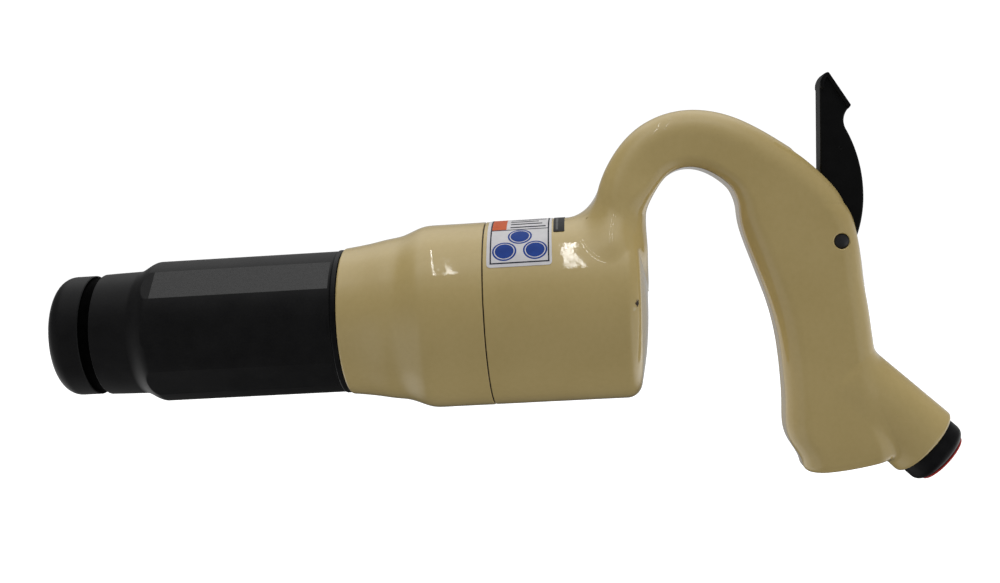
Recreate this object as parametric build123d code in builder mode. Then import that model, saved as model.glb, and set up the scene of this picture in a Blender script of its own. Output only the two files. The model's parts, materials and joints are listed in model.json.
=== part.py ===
from build123d import *
from math import cos, radians, sin, tan
import os

# Pneumatic chipping hammer with an open gooseneck handle.  Millimetres, +Z up.
# +X runs along the barrel from the chisel end towards the handle.  The origin is on the barrel's
# axis at the mouth of the chisel shank bore, in the plane of the barrel's nose face.

os.makedirs("parts", exist_ok=True)

# ------------------------------------------------------------------ driving dimensions
# Barrel
BORE_R = 14.3                # piston bore
BARREL_R = 30.0              # body of the barrel
NOSE_R = 25.6                # lip at the chisel end
NOSE_CORNER_R = 6.4
GROOVE_X = (14.6, 19.4)      # groove for the chisel retainer
GROOVE_R = 24.4
LAND_R = (25.9, 26.3)        # slightly tapered land behind the groove
SHOULDER_X = (35.0, 44.5)    # S-shaped shoulder up to the body
BARREL_END_X = 205.0
THREAD_R = 31.5              # thread that screws into the handle
THREAD_X = 183.0
FLAT_DEPTH = 0.93            # four wide flats on the diagonals
SIDE_FLAT_DEPTH = 0.45       # two narrow flats at the sides
FLATS_X = (30.0, 121.0)
EXHAUST_PORT_R = 2.6
EXHAUST_ROWS = ((146.0, 0), (152.0, 30))    # X and first angle of each ring of six ports
CYCLE_PASSAGE_R = 2.0
CYCLE_PORT_X = 60.0

# Shank bushing and piston
SHANK_R = 8.7                # 0.680 inch round shank with running clearance
BUSHING_R = 15.5
BUSHING_END_X = 46.0
PISTON_LENGTH = 66.0
PISTON_X = 48.0              # front end of the piston at rest
PISTON_R = BORE_R - 0.05

# Exhaust deflector and what holds it
RING_X = (122.1, 124.4)      # retaining ring in front of the deflector
RING_R = 30.45
DEFLECTOR_X = (124.6, 184.9)
DEFLECTOR_R = 38.6
SLOT_COUNT = 5               # exhaust slots in the deflector
SLOT_PITCH = 13              # degrees between them
SLOT_START = -58             # angle of the first, below the +Y side
SLOT_X = 168.0
FRONT_LAND_R = BARREL_R + 0.08
SEAM_X = 185.8               # front face of the handle's housing
SPIGOT_R = 34.9              # spigot of the housing inside the deflector
SPIGOT_X = 179.0

# Handle housing
HOUSING_R = 38.54
HOUSING_END_X = 251.3
HOUSING_CORNER_R = 6.5
HOUSING_CROWN = 3.6          # how far the rear face falls from its middle to its rim
BOX_R = 27.0                 # pocket for the valve box
BOX_POCKET_END_X = 240.0

# Valve box
BOX_X = (BARREL_END_X, 222.0)
COVER_X = (BOX_X[1], 233.0)
VALVE_R = 13.95
VALVE_X = (208.2, 218.8)
DOWEL_R = 1.5
DOWEL_PITCH_R = 22.0

# Labels: X range and angles above the near side
LABEL_THICKNESS = 0.25
SAFETY_LABEL_X = (187.2, 213.4)
SAFETY_LABEL_TURN = (31, 94)
RATING_LABEL_X = (214.1, 218.6)
RATING_LABEL_TURN = (58, 94)

# Gooseneck, grip and heel
ARCH_X = 270.5               # centre of the arch
ARCH_Z = 37.5
NECK_ROOT_R = 8.0
AIR_R = 4.5                  # air passage through the arch
AIR_PATH_R = 29.5
AIR_ARC_END = 65.0           # place round the arch where the passage runs straight on
AIR_RUN = 30.0

# Inlet boss
INLET_X = 362.6              # centre of the boss's end face
INLET_Z = -64.4
INLET_TILT = -44.2           # direction of the inlet axis in the XZ plane
BOSS_R = 15.7
BOSS_LENGTH = 45.0
INLET_BORE_R = 10.5
INLET_BORE_DEPTH = 22.0
INLET_THREAD_R = 8.2         # 3/8 inch pipe thread
INLET_FLANGE = 7.3           # thickness of the inlet bushing's flange
SUPPLY_R = 5.5
SUPPLY_FOOT = (333.9, -36.5)
SUPPLY_TOP = (298.5, 38.0)

# Throttle lever and valve
PIN_X = 329.8
PIN_Z = 22.0
PIN_R = 3.15
PIN_LENGTH = 26.6
LEVER_WIDTH = 12.0
THUMB_PLATE_WIDTH = 14.4
SLOT_WIDTH = 13.2
LEVER_PRESS = 12.0           # degrees
LEVER_BOSS_R = 7.0
LEVER_TIP = (328.9, 91.3)
THROTTLE_Z = 40.0            # height of the throttle valve's axis
PLUNGER_R = 3.0
BUSH_R = 6.4
BUSH_X = (306.0, 317.6)
CHAMBER_X = 294.5            # closed end of the spring chamber
CHAMBER_R = 5.6
PORT_X = 310.7               # ports of the throttle bush

AXIS_X = Axis((0, 0, 0), (1, 0, 0))
INLET_DIR = Vector(cos(radians(INLET_TILT)), 0, sin(radians(INLET_TILT)))
INLET_PLANE = Plane(origin=(INLET_X, 0, INLET_Z), x_dir=(0, 1, 0), z_dir=INLET_DIR)
INLET_SECTION = Plane(origin=(INLET_X, 0, INLET_Z), x_dir=INLET_DIR, z_dir=(0, -1, 0))
INLET_AXIS = Axis((INLET_X, 0, INLET_Z), INLET_DIR)
THROTTLE_SECTION = Plane(origin=(0, 0, THROTTLE_Z), x_dir=(1, 0, 0), z_dir=(0, -1, 0))
THROTTLE_AXIS = Axis((0, 0, THROTTLE_Z), (1, 0, 0))


def across(x):
    """The plane square to the barrel at x; its normal points towards the handle."""
    return Plane(origin=(x, 0, 0), x_dir=(0, 1, 0), z_dir=(1, 0, 0))


def finish(piece, name):
    """Label a finished piece and write its STEP file."""
    piece.part.label = name
    export_step(piece.part, f"parts/{name}.step")


def tube_profile(x0, x1, r_in, r_out):
    """Half section of a plain sleeve about the barrel's axis."""
    with BuildSketch(Plane.XZ) as profile:
        with BuildLine():
            Polyline((x0, r_in), (x1, r_in), (x1, r_out), (x0, r_out), close=True)
        make_face()
    return profile.sketch


# ------------------------------------------------------------------ barrel
with BuildPart() as barrel:
    mid_x = sum(SHOULDER_X) / 2
    mid_r = (LAND_R[1] + BARREL_R) / 2
    with BuildSketch(Plane.XZ):
        with BuildLine():
            Line((0, BUSHING_R), (0, NOSE_R - NOSE_CORNER_R))
            RadiusArc((0, NOSE_R - NOSE_CORNER_R), (NOSE_CORNER_R, NOSE_R), NOSE_CORNER_R)
            Polyline(
                (NOSE_CORNER_R, NOSE_R),
                (GROOVE_X[0], NOSE_R),
                (GROOVE_X[0], GROOVE_R),
                (GROOVE_X[1], GROOVE_R),
                (GROOVE_X[1], LAND_R[0]),
                (SHOULDER_X[0], LAND_R[1]),
            )
            TangentArc((SHOULDER_X[0], LAND_R[1]), (mid_x, mid_r), tangent=(1, 0.03))
            TangentArc((SHOULDER_X[1], BARREL_R), (mid_x, mid_r), tangent=(-1, 0))
            Polyline(
                (SHOULDER_X[1], BARREL_R),
                (RING_X[0] - 0.1, BARREL_R),
                (RING_X[0] - 0.1, BARREL_R - 1.2),
                (RING_X[1] + 0.1, BARREL_R - 1.2),
                (RING_X[1] + 0.1, BARREL_R),
                (THREAD_X, BARREL_R),
                (THREAD_X + 1.5, THREAD_R),
                (BARREL_END_X - 1, THREAD_R),
                (BARREL_END_X, THREAD_R - 1),
                (BARREL_END_X, BORE_R),
                (BUSHING_END_X, BORE_R),
                (BUSHING_END_X, BUSHING_R),
                (0, BUSHING_R),
            )
        make_face()
    revolve(axis=AXIS_X)
    # milled flats that run out into the shoulder
    flats = [(a, FLAT_DEPTH) for a in (45, 135, 225, 315)] + [(a, SIDE_FLAT_DEPTH) for a in (0, 180)]
    for angle, depth in flats:
        turn = radians(angle)
        cutter = Plane(origin=(FLATS_X[0], 0, 0), x_dir=(0, cos(turn), sin(turn)), z_dir=(1, 0, 0))
        with BuildSketch(cutter):
            with Locations((BARREL_R - depth + 5, 0)):
                Rectangle(10, 30)
        extrude(amount=FLATS_X[1] - FLATS_X[0], mode=Mode.SUBTRACT)
    # exhaust ports into the deflector
    for x, start in EXHAUST_ROWS:
        for k in range(6):
            turn = radians(start + 60 * k)
            port = Plane(origin=(x, 0, 0), x_dir=(1, 0, 0), z_dir=(0, cos(turn), sin(turn)))
            with BuildSketch(port):
                Circle(EXHAUST_PORT_R)
            extrude(amount=BARREL_R + 2, mode=Mode.SUBTRACT)
    # cycle air passages from the valve box to the front of the bore
    with BuildSketch(across(BARREL_END_X)):
        with PolarLocations(DOWEL_PITCH_R, 2, start_angle=0):
            Circle(CYCLE_PASSAGE_R)
    extrude(amount=CYCLE_PORT_X - CYCLE_PASSAGE_R - BARREL_END_X, mode=Mode.SUBTRACT)
    for side in (1, -1):
        port = Plane(origin=(CYCLE_PORT_X, 0, 0), x_dir=(1, 0, 0), z_dir=(0, side, 0))
        with BuildSketch(port):
            Circle(CYCLE_PASSAGE_R)
        extrude(amount=DOWEL_PITCH_R, mode=Mode.SUBTRACT)
    # dowel holes
    with BuildSketch(across(BARREL_END_X)):
        with PolarLocations(DOWEL_PITCH_R, 2, start_angle=90):
            Circle(DOWEL_R)
    extrude(amount=-6, mode=Mode.SUBTRACT)
finish(barrel, "barrel")

# ------------------------------------------------------------------ shank bushing
with BuildPart() as shank_bushing:
    with BuildSketch(Plane.XZ):
        with BuildLine():
            Polyline(
                (-0.8, SHANK_R + 0.8),
                (0, SHANK_R),
                (40, SHANK_R),
                (BUSHING_END_X - 1, SHANK_R + 3.5),
                (BUSHING_END_X, SHANK_R + 3.5),
                (BUSHING_END_X, BUSHING_R),
                (0.6, BUSHING_R),
                (0, BUSHING_R - 0.4),
                (-0.8, BUSHING_R - 1.2),
                close=True,
            )
        make_face()
    revolve(axis=AXIS_X)
finish(shank_bushing, "shank_bushing")

# ------------------------------------------------------------------ piston
with BuildPart() as piston:
    with BuildSketch(Plane.XZ):
        with BuildLine():
            Polyline(
                (PISTON_X, 0),
                (PISTON_X, 9.0),
                (PISTON_X + 1.5, 10.5),
                (PISTON_X + 8, 10.5),
                (PISTON_X + 11, PISTON_R),
                (PISTON_X + 30, PISTON_R),
                (PISTON_X + 30.6, PISTON_R - 0.6),
                (PISTON_X + 33.4, PISTON_R - 0.6),
                (PISTON_X + 34, PISTON_R),
                (PISTON_X + PISTON_LENGTH - 1.5, PISTON_R),
                (PISTON_X + PISTON_LENGTH, PISTON_R - 1.5),
                (PISTON_X + PISTON_LENGTH, 0),
                close=True,
            )
        make_face()
    revolve(axis=AXIS_X)
finish(piston, "piston")

# ------------------------------------------------------------------ deflector retaining ring
with BuildPart() as retaining_ring:
    revolve(tube_profile(RING_X[0], RING_X[1], BARREL_R - 1.1, RING_R), axis=AXIS_X)
    fillet(retaining_ring.edges().filter_by(GeomType.CIRCLE).group_by(SortBy.RADIUS)[-1], 0.5)
    # gap of the split ring, at the underside
    with BuildSketch(across(RING_X[0] - 1)):
        with Locations((0, -BARREL_R)):
            Rectangle(3, 8)
    extrude(amount=5, mode=Mode.SUBTRACT)
finish(retaining_ring, "deflector_retaining_ring")

# ------------------------------------------------------------------ exhaust deflector
with BuildPart() as deflector:
    x0, x1 = DEFLECTOR_X
    with BuildSketch(Plane.XZ):
        with BuildLine():
            Line((x0, FRONT_LAND_R), (x0, 30.6))
            RadiusArc((x0, 30.6), (x0 + 1.2, 31.1), 1.2)
            Line((x0 + 1.2, 31.1), (148.0, 34.6))
            TangentArc((148.0, 34.6), (155.0, 37.0), tangent=(23.4, 3.5))
            TangentArc((163.0, DEFLECTOR_R), (155.0, 37.0), tangent=(-1, 0))
            Polyline(
                (163.0, DEFLECTOR_R),
                (x1, DEFLECTOR_R),
                (x1, SPIGOT_R + 0.08),
                (160.0, SPIGOT_R + 0.08),
                (134.0, 31.8),
                (134.0, FRONT_LAND_R),
                (x0, FRONT_LAND_R),
            )
        make_face()
    revolve(axis=AXIS_X)
    # exhaust slots, on the side away from the lever hand and pointing down
    for k in range(SLOT_COUNT):
        turn = radians(SLOT_START + SLOT_PITCH * k)
        slot = Plane(origin=(SLOT_X, 0, 0), x_dir=(1, 0, 0), z_dir=(0, cos(turn), sin(turn)))
        with BuildSketch(slot):
            SlotOverall(18, 4.4)
        extrude(amount=DEFLECTOR_R + 3, mode=Mode.SUBTRACT)
finish(deflector, "exhaust_deflector")

# ------------------------------------------------------------------ deflector seal
with BuildPart() as deflector_seal:
    revolve(tube_profile(DEFLECTOR_X[1] + 0.05, SEAM_X, SPIGOT_R, HOUSING_R - 0.6), axis=AXIS_X)
finish(deflector_seal, "deflector_seal")

# ------------------------------------------------------------------ valve box, valve and cover
with BuildPart() as valve_box:
    with BuildSketch(Plane.XZ):
        with BuildLine():
            Polyline(
                (BOX_X[0], 8),
                (BOX_X[0] + 3, 8),
                (BOX_X[0] + 3, VALVE_R + 0.05),
                (BOX_X[1], VALVE_R + 0.05),
                (BOX_X[1], BOX_R - 0.1),
                (BOX_X[0] + 1, BOX_R - 0.1),
                (BOX_X[0], BOX_R - 1),
                close=True,
            )
        make_face()
    revolve(axis=AXIS_X)
    with BuildSketch(across(BOX_X[0])):
        with PolarLocations(DOWEL_PITCH_R, 2, start_angle=0):
            Circle(CYCLE_PASSAGE_R)
        with PolarLocations(DOWEL_PITCH_R, 2, start_angle=90):
            Circle(DOWEL_R)
        with PolarLocations(20, 4, start_angle=45):
            Circle(1.8)
    extrude(amount=BOX_X[1] - BOX_X[0], mode=Mode.SUBTRACT)
finish(valve_box, "valve_box")

with BuildPart() as valve:
    with BuildSketch(Plane.XZ):
        with BuildLine():
            Polyline(
                (VALVE_X[0], 5),
                (VALVE_X[1], 5),
                (VALVE_X[1], VALVE_R - 0.5),
                (VALVE_X[1] - 0.5, VALVE_R),
                (VALVE_X[1] - 3.5, VALVE_R),
                (VALVE_X[1] - 3.5, VALVE_R - 1.5),
                (VALVE_X[0] + 3.5, VALVE_R - 1.5),
                (VALVE_X[0] + 3.5, VALVE_R),
                (VALVE_X[0] + 0.5, VALVE_R),
                (VALVE_X[0], VALVE_R - 0.5),
                close=True,
            )
        make_face()
    revolve(axis=AXIS_X)
finish(valve, "cycle_valve")

with BuildPart() as valve_cover:
    with BuildSketch(across(COVER_X[0])):
        Circle(BOX_R - 0.1)
        Circle(4, mode=Mode.SUBTRACT)
        with PolarLocations(20, 4, start_angle=45):
            Circle(2.2, mode=Mode.SUBTRACT)
        with PolarLocations(DOWEL_PITCH_R, 2, start_angle=90):
            Circle(DOWEL_R, mode=Mode.SUBTRACT)
    extrude(amount=COVER_X[1] - COVER_X[0])
    chamfer(valve_cover.faces().sort_by(Axis.X)[-1].outer_wire().edges(), 0.8)
finish(valve_cover, "valve_box_cover")

with BuildPart() as dowels:
    with BuildSketch(across(BARREL_END_X - 5.5)):
        with PolarLocations(DOWEL_PITCH_R, 2, start_angle=90):
            Circle(DOWEL_R)
    extrude(amount=COVER_X[1] - 1 - (BARREL_END_X - 5.5))
finish(dowels, "valve_box_dowels")

# dished washer that keeps the valve box clamped against the barrel
with BuildPart() as clamp_washer:
    with BuildSketch(Plane.XZ):
        with BuildLine():
            Polyline(
                (COVER_X[1], BOX_R - 3.5),
                (COVER_X[1] + 5.4, BOX_R - 9),
                (BOX_POCKET_END_X, BOX_R - 9),
                (BOX_POCKET_END_X, BOX_R - 7),
                (COVER_X[1] + 1.6, BOX_R - 1),
                (COVER_X[1], BOX_R - 1),
                close=True,
            )
        make_face()
    revolve(axis=AXIS_X)
finish(clamp_washer, "valve_box_clamp_washer")

# ------------------------------------------------------------------ handle casting
def arch_section(turn, radius, half_depth, half_width, corner):
    """One rounded section of the arch: turn is its place round the arch's centre."""
    direction = Vector(cos(radians(turn)), 0, sin(radians(turn)))
    along = Vector(sin(radians(turn)), 0, -cos(radians(turn)))
    centre = Vector(ARCH_X, 0, ARCH_Z) + direction * radius
    with BuildSketch(Plane(origin=centre, x_dir=direction, z_dir=along)) as section:
        RectangleRounded(2 * half_depth, 2 * half_width, corner)
    return section.sketch


def level_section(x0, x1, z, half_width, corner, upward=False):
    """One rounded horizontal section from x0 to x1; the neck's root runs upward."""
    sense = -1 if upward else 1
    level = Plane(origin=((x0 + x1) / 2, 0, z), x_dir=(sense, 0, 0), z_dir=(0, 0, -sense))
    with BuildSketch(level) as section:
        RectangleRounded(x1 - x0, 2 * half_width, corner)
    return section.sketch


with BuildPart() as handle:
    # neck, arch and grip in one smooth run
    sections = [
        level_section(228.0, 246.5, 6, 33.0, 9, upward=True),
        level_section(229.6, 249.6, 24, 29.0, 9.6, upward=True),
        arch_section(180, 29.0, 10.7, 23.0, 9.6),
        arch_section(150, 28.4, 11.0, 18.6, 9.8),
        arch_section(120, 29.5, 11.6, 15.8, 10.4),
        arch_section(90, 30.4, 12.0, 14.4, 10.8),
        arch_section(60, 30.3, 12.6, 13.8, 11.0),
        arch_section(30, 33.1, 14.8, 13.9, 10.6),
        arch_section(0, 40.15, 20.65, 14.2, 10.0),
        level_section(293.4, 337.7, 22, 14.5, 9.5),
        level_section(300.2, 339.5, 0, 14.7, 9.5),
        level_section(304.6, 341.0, -25, 15.0, 9.5),
        level_section(304.9, 341.0, -45, 15.4, 10),
        level_section(306.2, 345.0, -58, 15.4, 10),
        level_section(311.5, 346.5, -68.5, 14.0, 9),
        level_section(315.5, 342.0, -72.3, 10.0, 6),
    ]
    loft(sections)
    # inlet boss
    with BuildSketch(INLET_PLANE.offset(-BOSS_LENGTH)):
        Circle(BOSS_R)
    extrude(amount=BOSS_LENGTH)
    fillet(handle.edges().filter_by(GeomType.CIRCLE).sort_by(Axis(INLET_PLANE.origin, INLET_DIR))[-1], 1.7)
    # housing with its spigot
    with BuildSketch(Plane.XZ):
        with BuildLine():
            corner_x = HOUSING_END_X - HOUSING_CROWN - HOUSING_CORNER_R
            Polyline(
                (corner_x, HOUSING_R),
                (SEAM_X + 0.4, HOUSING_R),
                (SEAM_X, HOUSING_R - 0.4),
                (SEAM_X, SPIGOT_R),
                (SPIGOT_X, SPIGOT_R),
                (SPIGOT_X, 0),
                (HOUSING_END_X, 0),
            )
            rim = (HOUSING_END_X - HOUSING_CROWN, HOUSING_R - HOUSING_CORNER_R)
            RadiusArc((HOUSING_END_X, 0), rim, -145)
            RadiusArc(rim, (corner_x, HOUSING_R), -HOUSING_CORNER_R)
        make_face()
    revolve(axis=AXIS_X)
    # cast fillet round the root of the neck
    root = handle.edges().filter_by(GeomType.BSPLINE)
    root = root.filter_by_position(Axis.X, 230, 252).filter_by_position(Axis.Z, 30, 40)
    fillet(root, NECK_ROOT_R)
    # socket for the barrel's thread, and the valve box's pocket behind it
    with BuildSketch(across(SPIGOT_X)):
        Circle(THREAD_R + 0.05)
    extrude(amount=BARREL_END_X + 1 - SPIGOT_X, mode=Mode.SUBTRACT)
    with BuildSketch(across(BARREL_END_X)):
        Circle(BOX_R)
    extrude(amount=BOX_POCKET_END_X - BARREL_END_X, mode=Mode.SUBTRACT)
    # air passage from the throttle valve over the arch and down into the pocket
    arc_end = radians(AIR_ARC_END)
    foot_x = ARCH_X - AIR_PATH_R
    bend = Vector(ARCH_X + AIR_PATH_R * cos(arc_end), ARCH_Z + AIR_PATH_R * sin(arc_end))
    run_end = bend + Vector(sin(arc_end), -cos(arc_end)) * AIR_RUN
    with BuildLine(Plane.XZ):
        Line((foot_x, 16), (foot_x, ARCH_Z))
        CenterArc((ARCH_X, ARCH_Z), AIR_PATH_R, 180, AIR_ARC_END - 180)
        Line((bend.X, bend.Y), (run_end.X, run_end.Y))
    with BuildSketch(Plane(origin=(foot_x, 0, 16), z_dir=(0, 0, 1))):
        Circle(AIR_R)
    sweep(mode=Mode.SUBTRACT)
    with BuildSketch(Plane(origin=(PORT_X, 0, THROTTLE_Z), z_dir=(0, 0, 1))):
        Circle(3.4)
    extrude(amount=run_end.Y - THROTTLE_Z, mode=Mode.SUBTRACT)
    # throttle bore and spring chamber
    with BuildSketch(THROTTLE_SECTION):
        with BuildLine():
            Polyline(
                (CHAMBER_X, 0),
                (CHAMBER_X, CHAMBER_R),
                (BUSH_X[0], CHAMBER_R),
                (BUSH_X[0], BUSH_R + 0.05),
                (BUSH_X[1] + 3, BUSH_R + 0.05),
                (BUSH_X[1] + 3, 0),
                close=True,
            )
        make_face()
    revolve(axis=THROTTLE_AXIS, mode=Mode.SUBTRACT)
    # supply passage up the grip from the inlet
    foot = Vector(SUPPLY_FOOT[0], 0, SUPPLY_FOOT[1])
    rise = Vector(SUPPLY_TOP[0], 0, SUPPLY_TOP[1]) - foot
    with BuildSketch(Plane(origin=foot, x_dir=(0, 1, 0), z_dir=rise)):
        Circle(SUPPLY_R)
    extrude(amount=rise.length, mode=Mode.SUBTRACT)
    # inlet bore, stepped for the bushing, the screen's flange and the screen
    with BuildSketch(INLET_SECTION):
        with BuildLine():
            Polyline(
                (1, 0),
                (1, INLET_BORE_R),
                (-INLET_BORE_DEPTH, INLET_BORE_R),
                (-INLET_BORE_DEPTH, 6.6),
                (-BOSS_LENGTH + 5, 6.6),
                (-BOSS_LENGTH + 2, 0),
                close=True,
            )
        make_face()
    revolve(axis=INLET_AXIS, mode=Mode.SUBTRACT)
    # slot for the lever: round at the pin, its front wall clear of the pressed lever
    wall_top = 75.0
    wall_lean = tan(radians(LEVER_PRESS))
    wall_foot = PIN_X - LEVER_BOSS_R - 1.0
    with BuildSketch(Plane.XZ):
        with BuildLine():
            Polyline(
                (wall_foot, PIN_Z),
                (wall_foot - (wall_top - PIN_Z) * wall_lean, wall_top),
                (PIN_X + 25, wall_top),
                (PIN_X + 25, PIN_Z - LEVER_BOSS_R - 1),
                (PIN_X, PIN_Z - LEVER_BOSS_R - 1),
                (PIN_X, PIN_Z),
                close=True,
            )
        make_face()
        with Locations((PIN_X, PIN_Z)):
            Circle(LEVER_BOSS_R + 1)
    extrude(amount=SLOT_WIDTH / 2, both=True, mode=Mode.SUBTRACT)
    # cross hole for the lever's pin
    with BuildSketch(Plane.XZ):
        with Locations((PIN_X, PIN_Z)):
            Circle(PIN_R + 0.01)
    extrude(amount=30, both=True, mode=Mode.SUBTRACT)
finish(handle, "handle_casting")

# ------------------------------------------------------------------ throttle lever and its pin
with BuildPart() as lever:
    front_foot = (PIN_X - LEVER_BOSS_R, PIN_Z)
    front_top = (325.4, 85.5)
    corner = (337.4, 77.0)
    notch = (336.9, 76.2)
    with BuildSketch(Plane.XZ):
        with BuildLine():
            Line(front_foot, front_top)
            ThreePointArc(front_top, (326.4, 89.2), LEVER_TIP)
            Line(LEVER_TIP, corner)
            Line(corner, notch)
            ThreePointArc(notch, (334.5, 72.2), (334.9, 68.0))
            ThreePointArc((334.9, 68.0), (339.4, 55.5), (340.9, 42.0))
            ThreePointArc((340.9, 42.0), (339.8, 31.4), (PIN_X + LEVER_BOSS_R, PIN_Z))
            ThreePointArc((PIN_X + LEVER_BOSS_R, PIN_Z), (PIN_X, PIN_Z - LEVER_BOSS_R), front_foot)
        make_face()
    extrude(amount=LEVER_WIDTH / 2, both=True)
    # thumb plate along the tip, a little wider than the lever
    with BuildSketch(Plane.XZ):
        with BuildLine():
            Polyline(LEVER_TIP, corner, (335.3, 75.6), (327.2, 89.2), close=True)
        make_face()
    extrude(amount=THUMB_PLATE_WIDTH / 2, both=True)
    with BuildSketch(Plane.XZ):
        with Locations((PIN_X, PIN_Z)):
            Circle(PIN_R + 0.05)
    extrude(amount=10, both=True, mode=Mode.SUBTRACT)
finish(lever, "throttle_lever")

with BuildPart() as lever_pin:
    with BuildSketch(Plane.XZ):
        with Locations((PIN_X, PIN_Z)):
            Circle(PIN_R)
    extrude(amount=PIN_LENGTH / 2, both=True)
    chamfer(lever_pin.edges().filter_by(GeomType.CIRCLE), 0.7)
finish(lever_pin, "lever_pin")

# ------------------------------------------------------------------ throttle valve
with BuildPart() as throttle_bush:
    x0, x1 = BUSH_X
    with BuildSketch(THROTTLE_SECTION):
        with BuildLine():
            Polyline(
                (x0, 3.2),
                (x0 + 1.3, 3.2),
                (x0 + 1.3, 4.1),
                (313.9, 4.1),
                (313.9, PLUNGER_R + 0.05),
                (314.9, PLUNGER_R + 0.05),
                (314.9, 4.45),
                (316.5, 4.45),
                (316.5, PLUNGER_R + 0.05),
                (x1, PLUNGER_R + 0.05),
                (x1, BUSH_R),
                (x0, BUSH_R),
                close=True,
            )
        make_face()
    revolve(axis=THROTTLE_AXIS)
    for turn in (45, 135):
        up = Vector(0, cos(radians(turn)), sin(radians(turn)))
        with BuildSketch(Plane(origin=(PORT_X, 0, THROTTLE_Z), x_dir=(1, 0, 0), z_dir=up)):
            Circle(1.8)
        extrude(amount=10, both=True, mode=Mode.SUBTRACT)
finish(throttle_bush, "throttle_bush")

with BuildPart() as plunger:
    head_x = 323.4
    dome = 1.1
    dome_r = (PLUNGER_R ** 2 + dome ** 2) / (2 * dome)
    with BuildSketch(THROTTLE_SECTION):
        with BuildLine():
            Polyline(
                (head_x, 0),
                (312.3, 0),
                (312.3, 3.7),
                (313.8, 3.7),
                (313.8, PLUNGER_R),
                (head_x - dome, PLUNGER_R),
            )
            RadiusArc((head_x - dome, PLUNGER_R), (head_x, 0), dome_r)
        make_face()
    revolve(axis=THROTTLE_AXIS)
finish(plunger, "throttle_plunger")

with BuildPart() as plunger_seal:
    with BuildSketch(THROTTLE_SECTION):
        with Locations((315.7, 3.75)):
            Circle(0.68)
    revolve(axis=THROTTLE_AXIS)
finish(plunger_seal, "plunger_seal")

with BuildPart() as throttle_valve:
    with BuildSketch(THROTTLE_SECTION):
        with BuildLine():
            Polyline(
                (312.15, 0),
                (312.15, 1.6),
                (307.0, 1.6),
                (306.0, 2.6),
                (305.95, 4.8),
                (303.4, 4.8),
                (303.0, 4.4),
                (303.0, 1.8),
                (300.2, 1.8),
                (300.2, 0),
                close=True,
            )
        make_face()
    revolve(axis=THROTTLE_AXIS)
finish(throttle_valve, "throttle_valve")

with BuildPart() as throttle_spring:
    wire_r = 0.4
    coil_r = 3.4
    spring_x = (CHAMBER_X + wire_r, 303.0 - wire_r)
    length = spring_x[1] - spring_x[0]
    with BuildLine() as coil:
        Helix(length / 4, length, coil_r, center=(spring_x[0], 0, THROTTLE_Z), direction=(1, 0, 0))
    with BuildSketch(Plane(origin=coil.line @ 0, z_dir=coil.line % 0)):
        Circle(wire_r)
    sweep(is_frenet=True)
finish(throttle_spring, "throttle_spring")

# ------------------------------------------------------------------ air inlet
with BuildPart() as inlet_bushing:
    with BuildSketch(INLET_SECTION):
        with BuildLine():
            Polyline(
                (INLET_FLANGE - 3.4, 14.0),
                (0, 14.0),
                (0, INLET_BORE_R),
                (-INLET_BORE_DEPTH + 1, INLET_BORE_R),
                (-INLET_BORE_DEPTH + 1, INLET_THREAD_R),
                (INLET_FLANGE - 0.8, INLET_THREAD_R),
                (INLET_FLANGE, INLET_THREAD_R + 0.8),
                (INLET_FLANGE, 10.6),
            )
            RadiusArc((INLET_FLANGE, 10.6), (INLET_FLANGE - 3.4, 14.0), -3.4)
        make_face()
    revolve(axis=INLET_AXIS)
finish(inlet_bushing, "inlet_bushing")

with BuildPart() as inlet_screen:
    with BuildSketch(INLET_SECTION):
        with BuildLine():
            Polyline(
                (-INLET_BORE_DEPTH + 1, 5.8),
                (-INLET_BORE_DEPTH + 1, 10.3),
                (-INLET_BORE_DEPTH, 10.3),
                (-INLET_BORE_DEPTH, 6.3),
                (-34, 6.3),
                (-34, 0),
                (-33.4, 0),
                (-33.4, 5.8),
                close=True,
            )
        make_face()
    revolve(axis=INLET_AXIS)
    for row in range(4):
        for k in range(6):
            turn = radians(60 * k + 30 * (row % 2))
            out = Vector(0, cos(turn), 0) + Vector(-INLET_DIR.Z, 0, INLET_DIR.X) * sin(turn)
            spot = INLET_PLANE.origin + INLET_DIR * (-24.5 - 2.4 * row)
            with BuildSketch(Plane(origin=spot, x_dir=INLET_DIR, z_dir=out)):
                Circle(0.9)
            extrude(amount=8, mode=Mode.SUBTRACT)
finish(inlet_screen, "inlet_screen")

with BuildPart() as dust_plug:
    with BuildSketch(INLET_SECTION):
        with BuildLine():
            Polyline(
                (INLET_FLANGE + 1.0, 0),
                (INLET_FLANGE + 1.0, 11.3),
                (INLET_FLANGE + 0.7, 11.6),
                (INLET_FLANGE + 0.1, 11.6),
                (INLET_FLANGE + 0.1, 7.9),
                (-6, 7.9),
                (-7, 7.5),
                (-7, 6.5),
                (INLET_FLANGE - 0.2, 6.5),
                (INLET_FLANGE - 0.2, 0),
                close=True,
            )
        make_face()
    revolve(axis=INLET_AXIS)
finish(dust_plug, "dust_plug")

# ------------------------------------------------------------------ labels on the housing
def label_profile(x_range, low):
    """Section of a sheet on the housing, at the angle low above the near side."""
    start = radians(low)
    radial = Vector(0, -cos(start), sin(start))
    plane = Plane(origin=(0, 0, 0), x_dir=(1, 0, 0), z_dir=Vector(1, 0, 0).cross(radial))
    outer_r = HOUSING_R + LABEL_THICKNESS
    with BuildSketch(plane) as profile:
        with BuildLine():
            Polyline(
                (x_range[0], HOUSING_R),
                (x_range[1], HOUSING_R),
                (x_range[1], outer_r),
                (x_range[0], outer_r),
                close=True,
            )
        make_face()
    return profile.sketch


with BuildPart() as safety_label:
    low, high = SAFETY_LABEL_TURN
    revolve(label_profile(SAFETY_LABEL_X, low), axis=AXIS_X, revolution_arc=low - high)
finish(safety_label, "safety_label")

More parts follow.
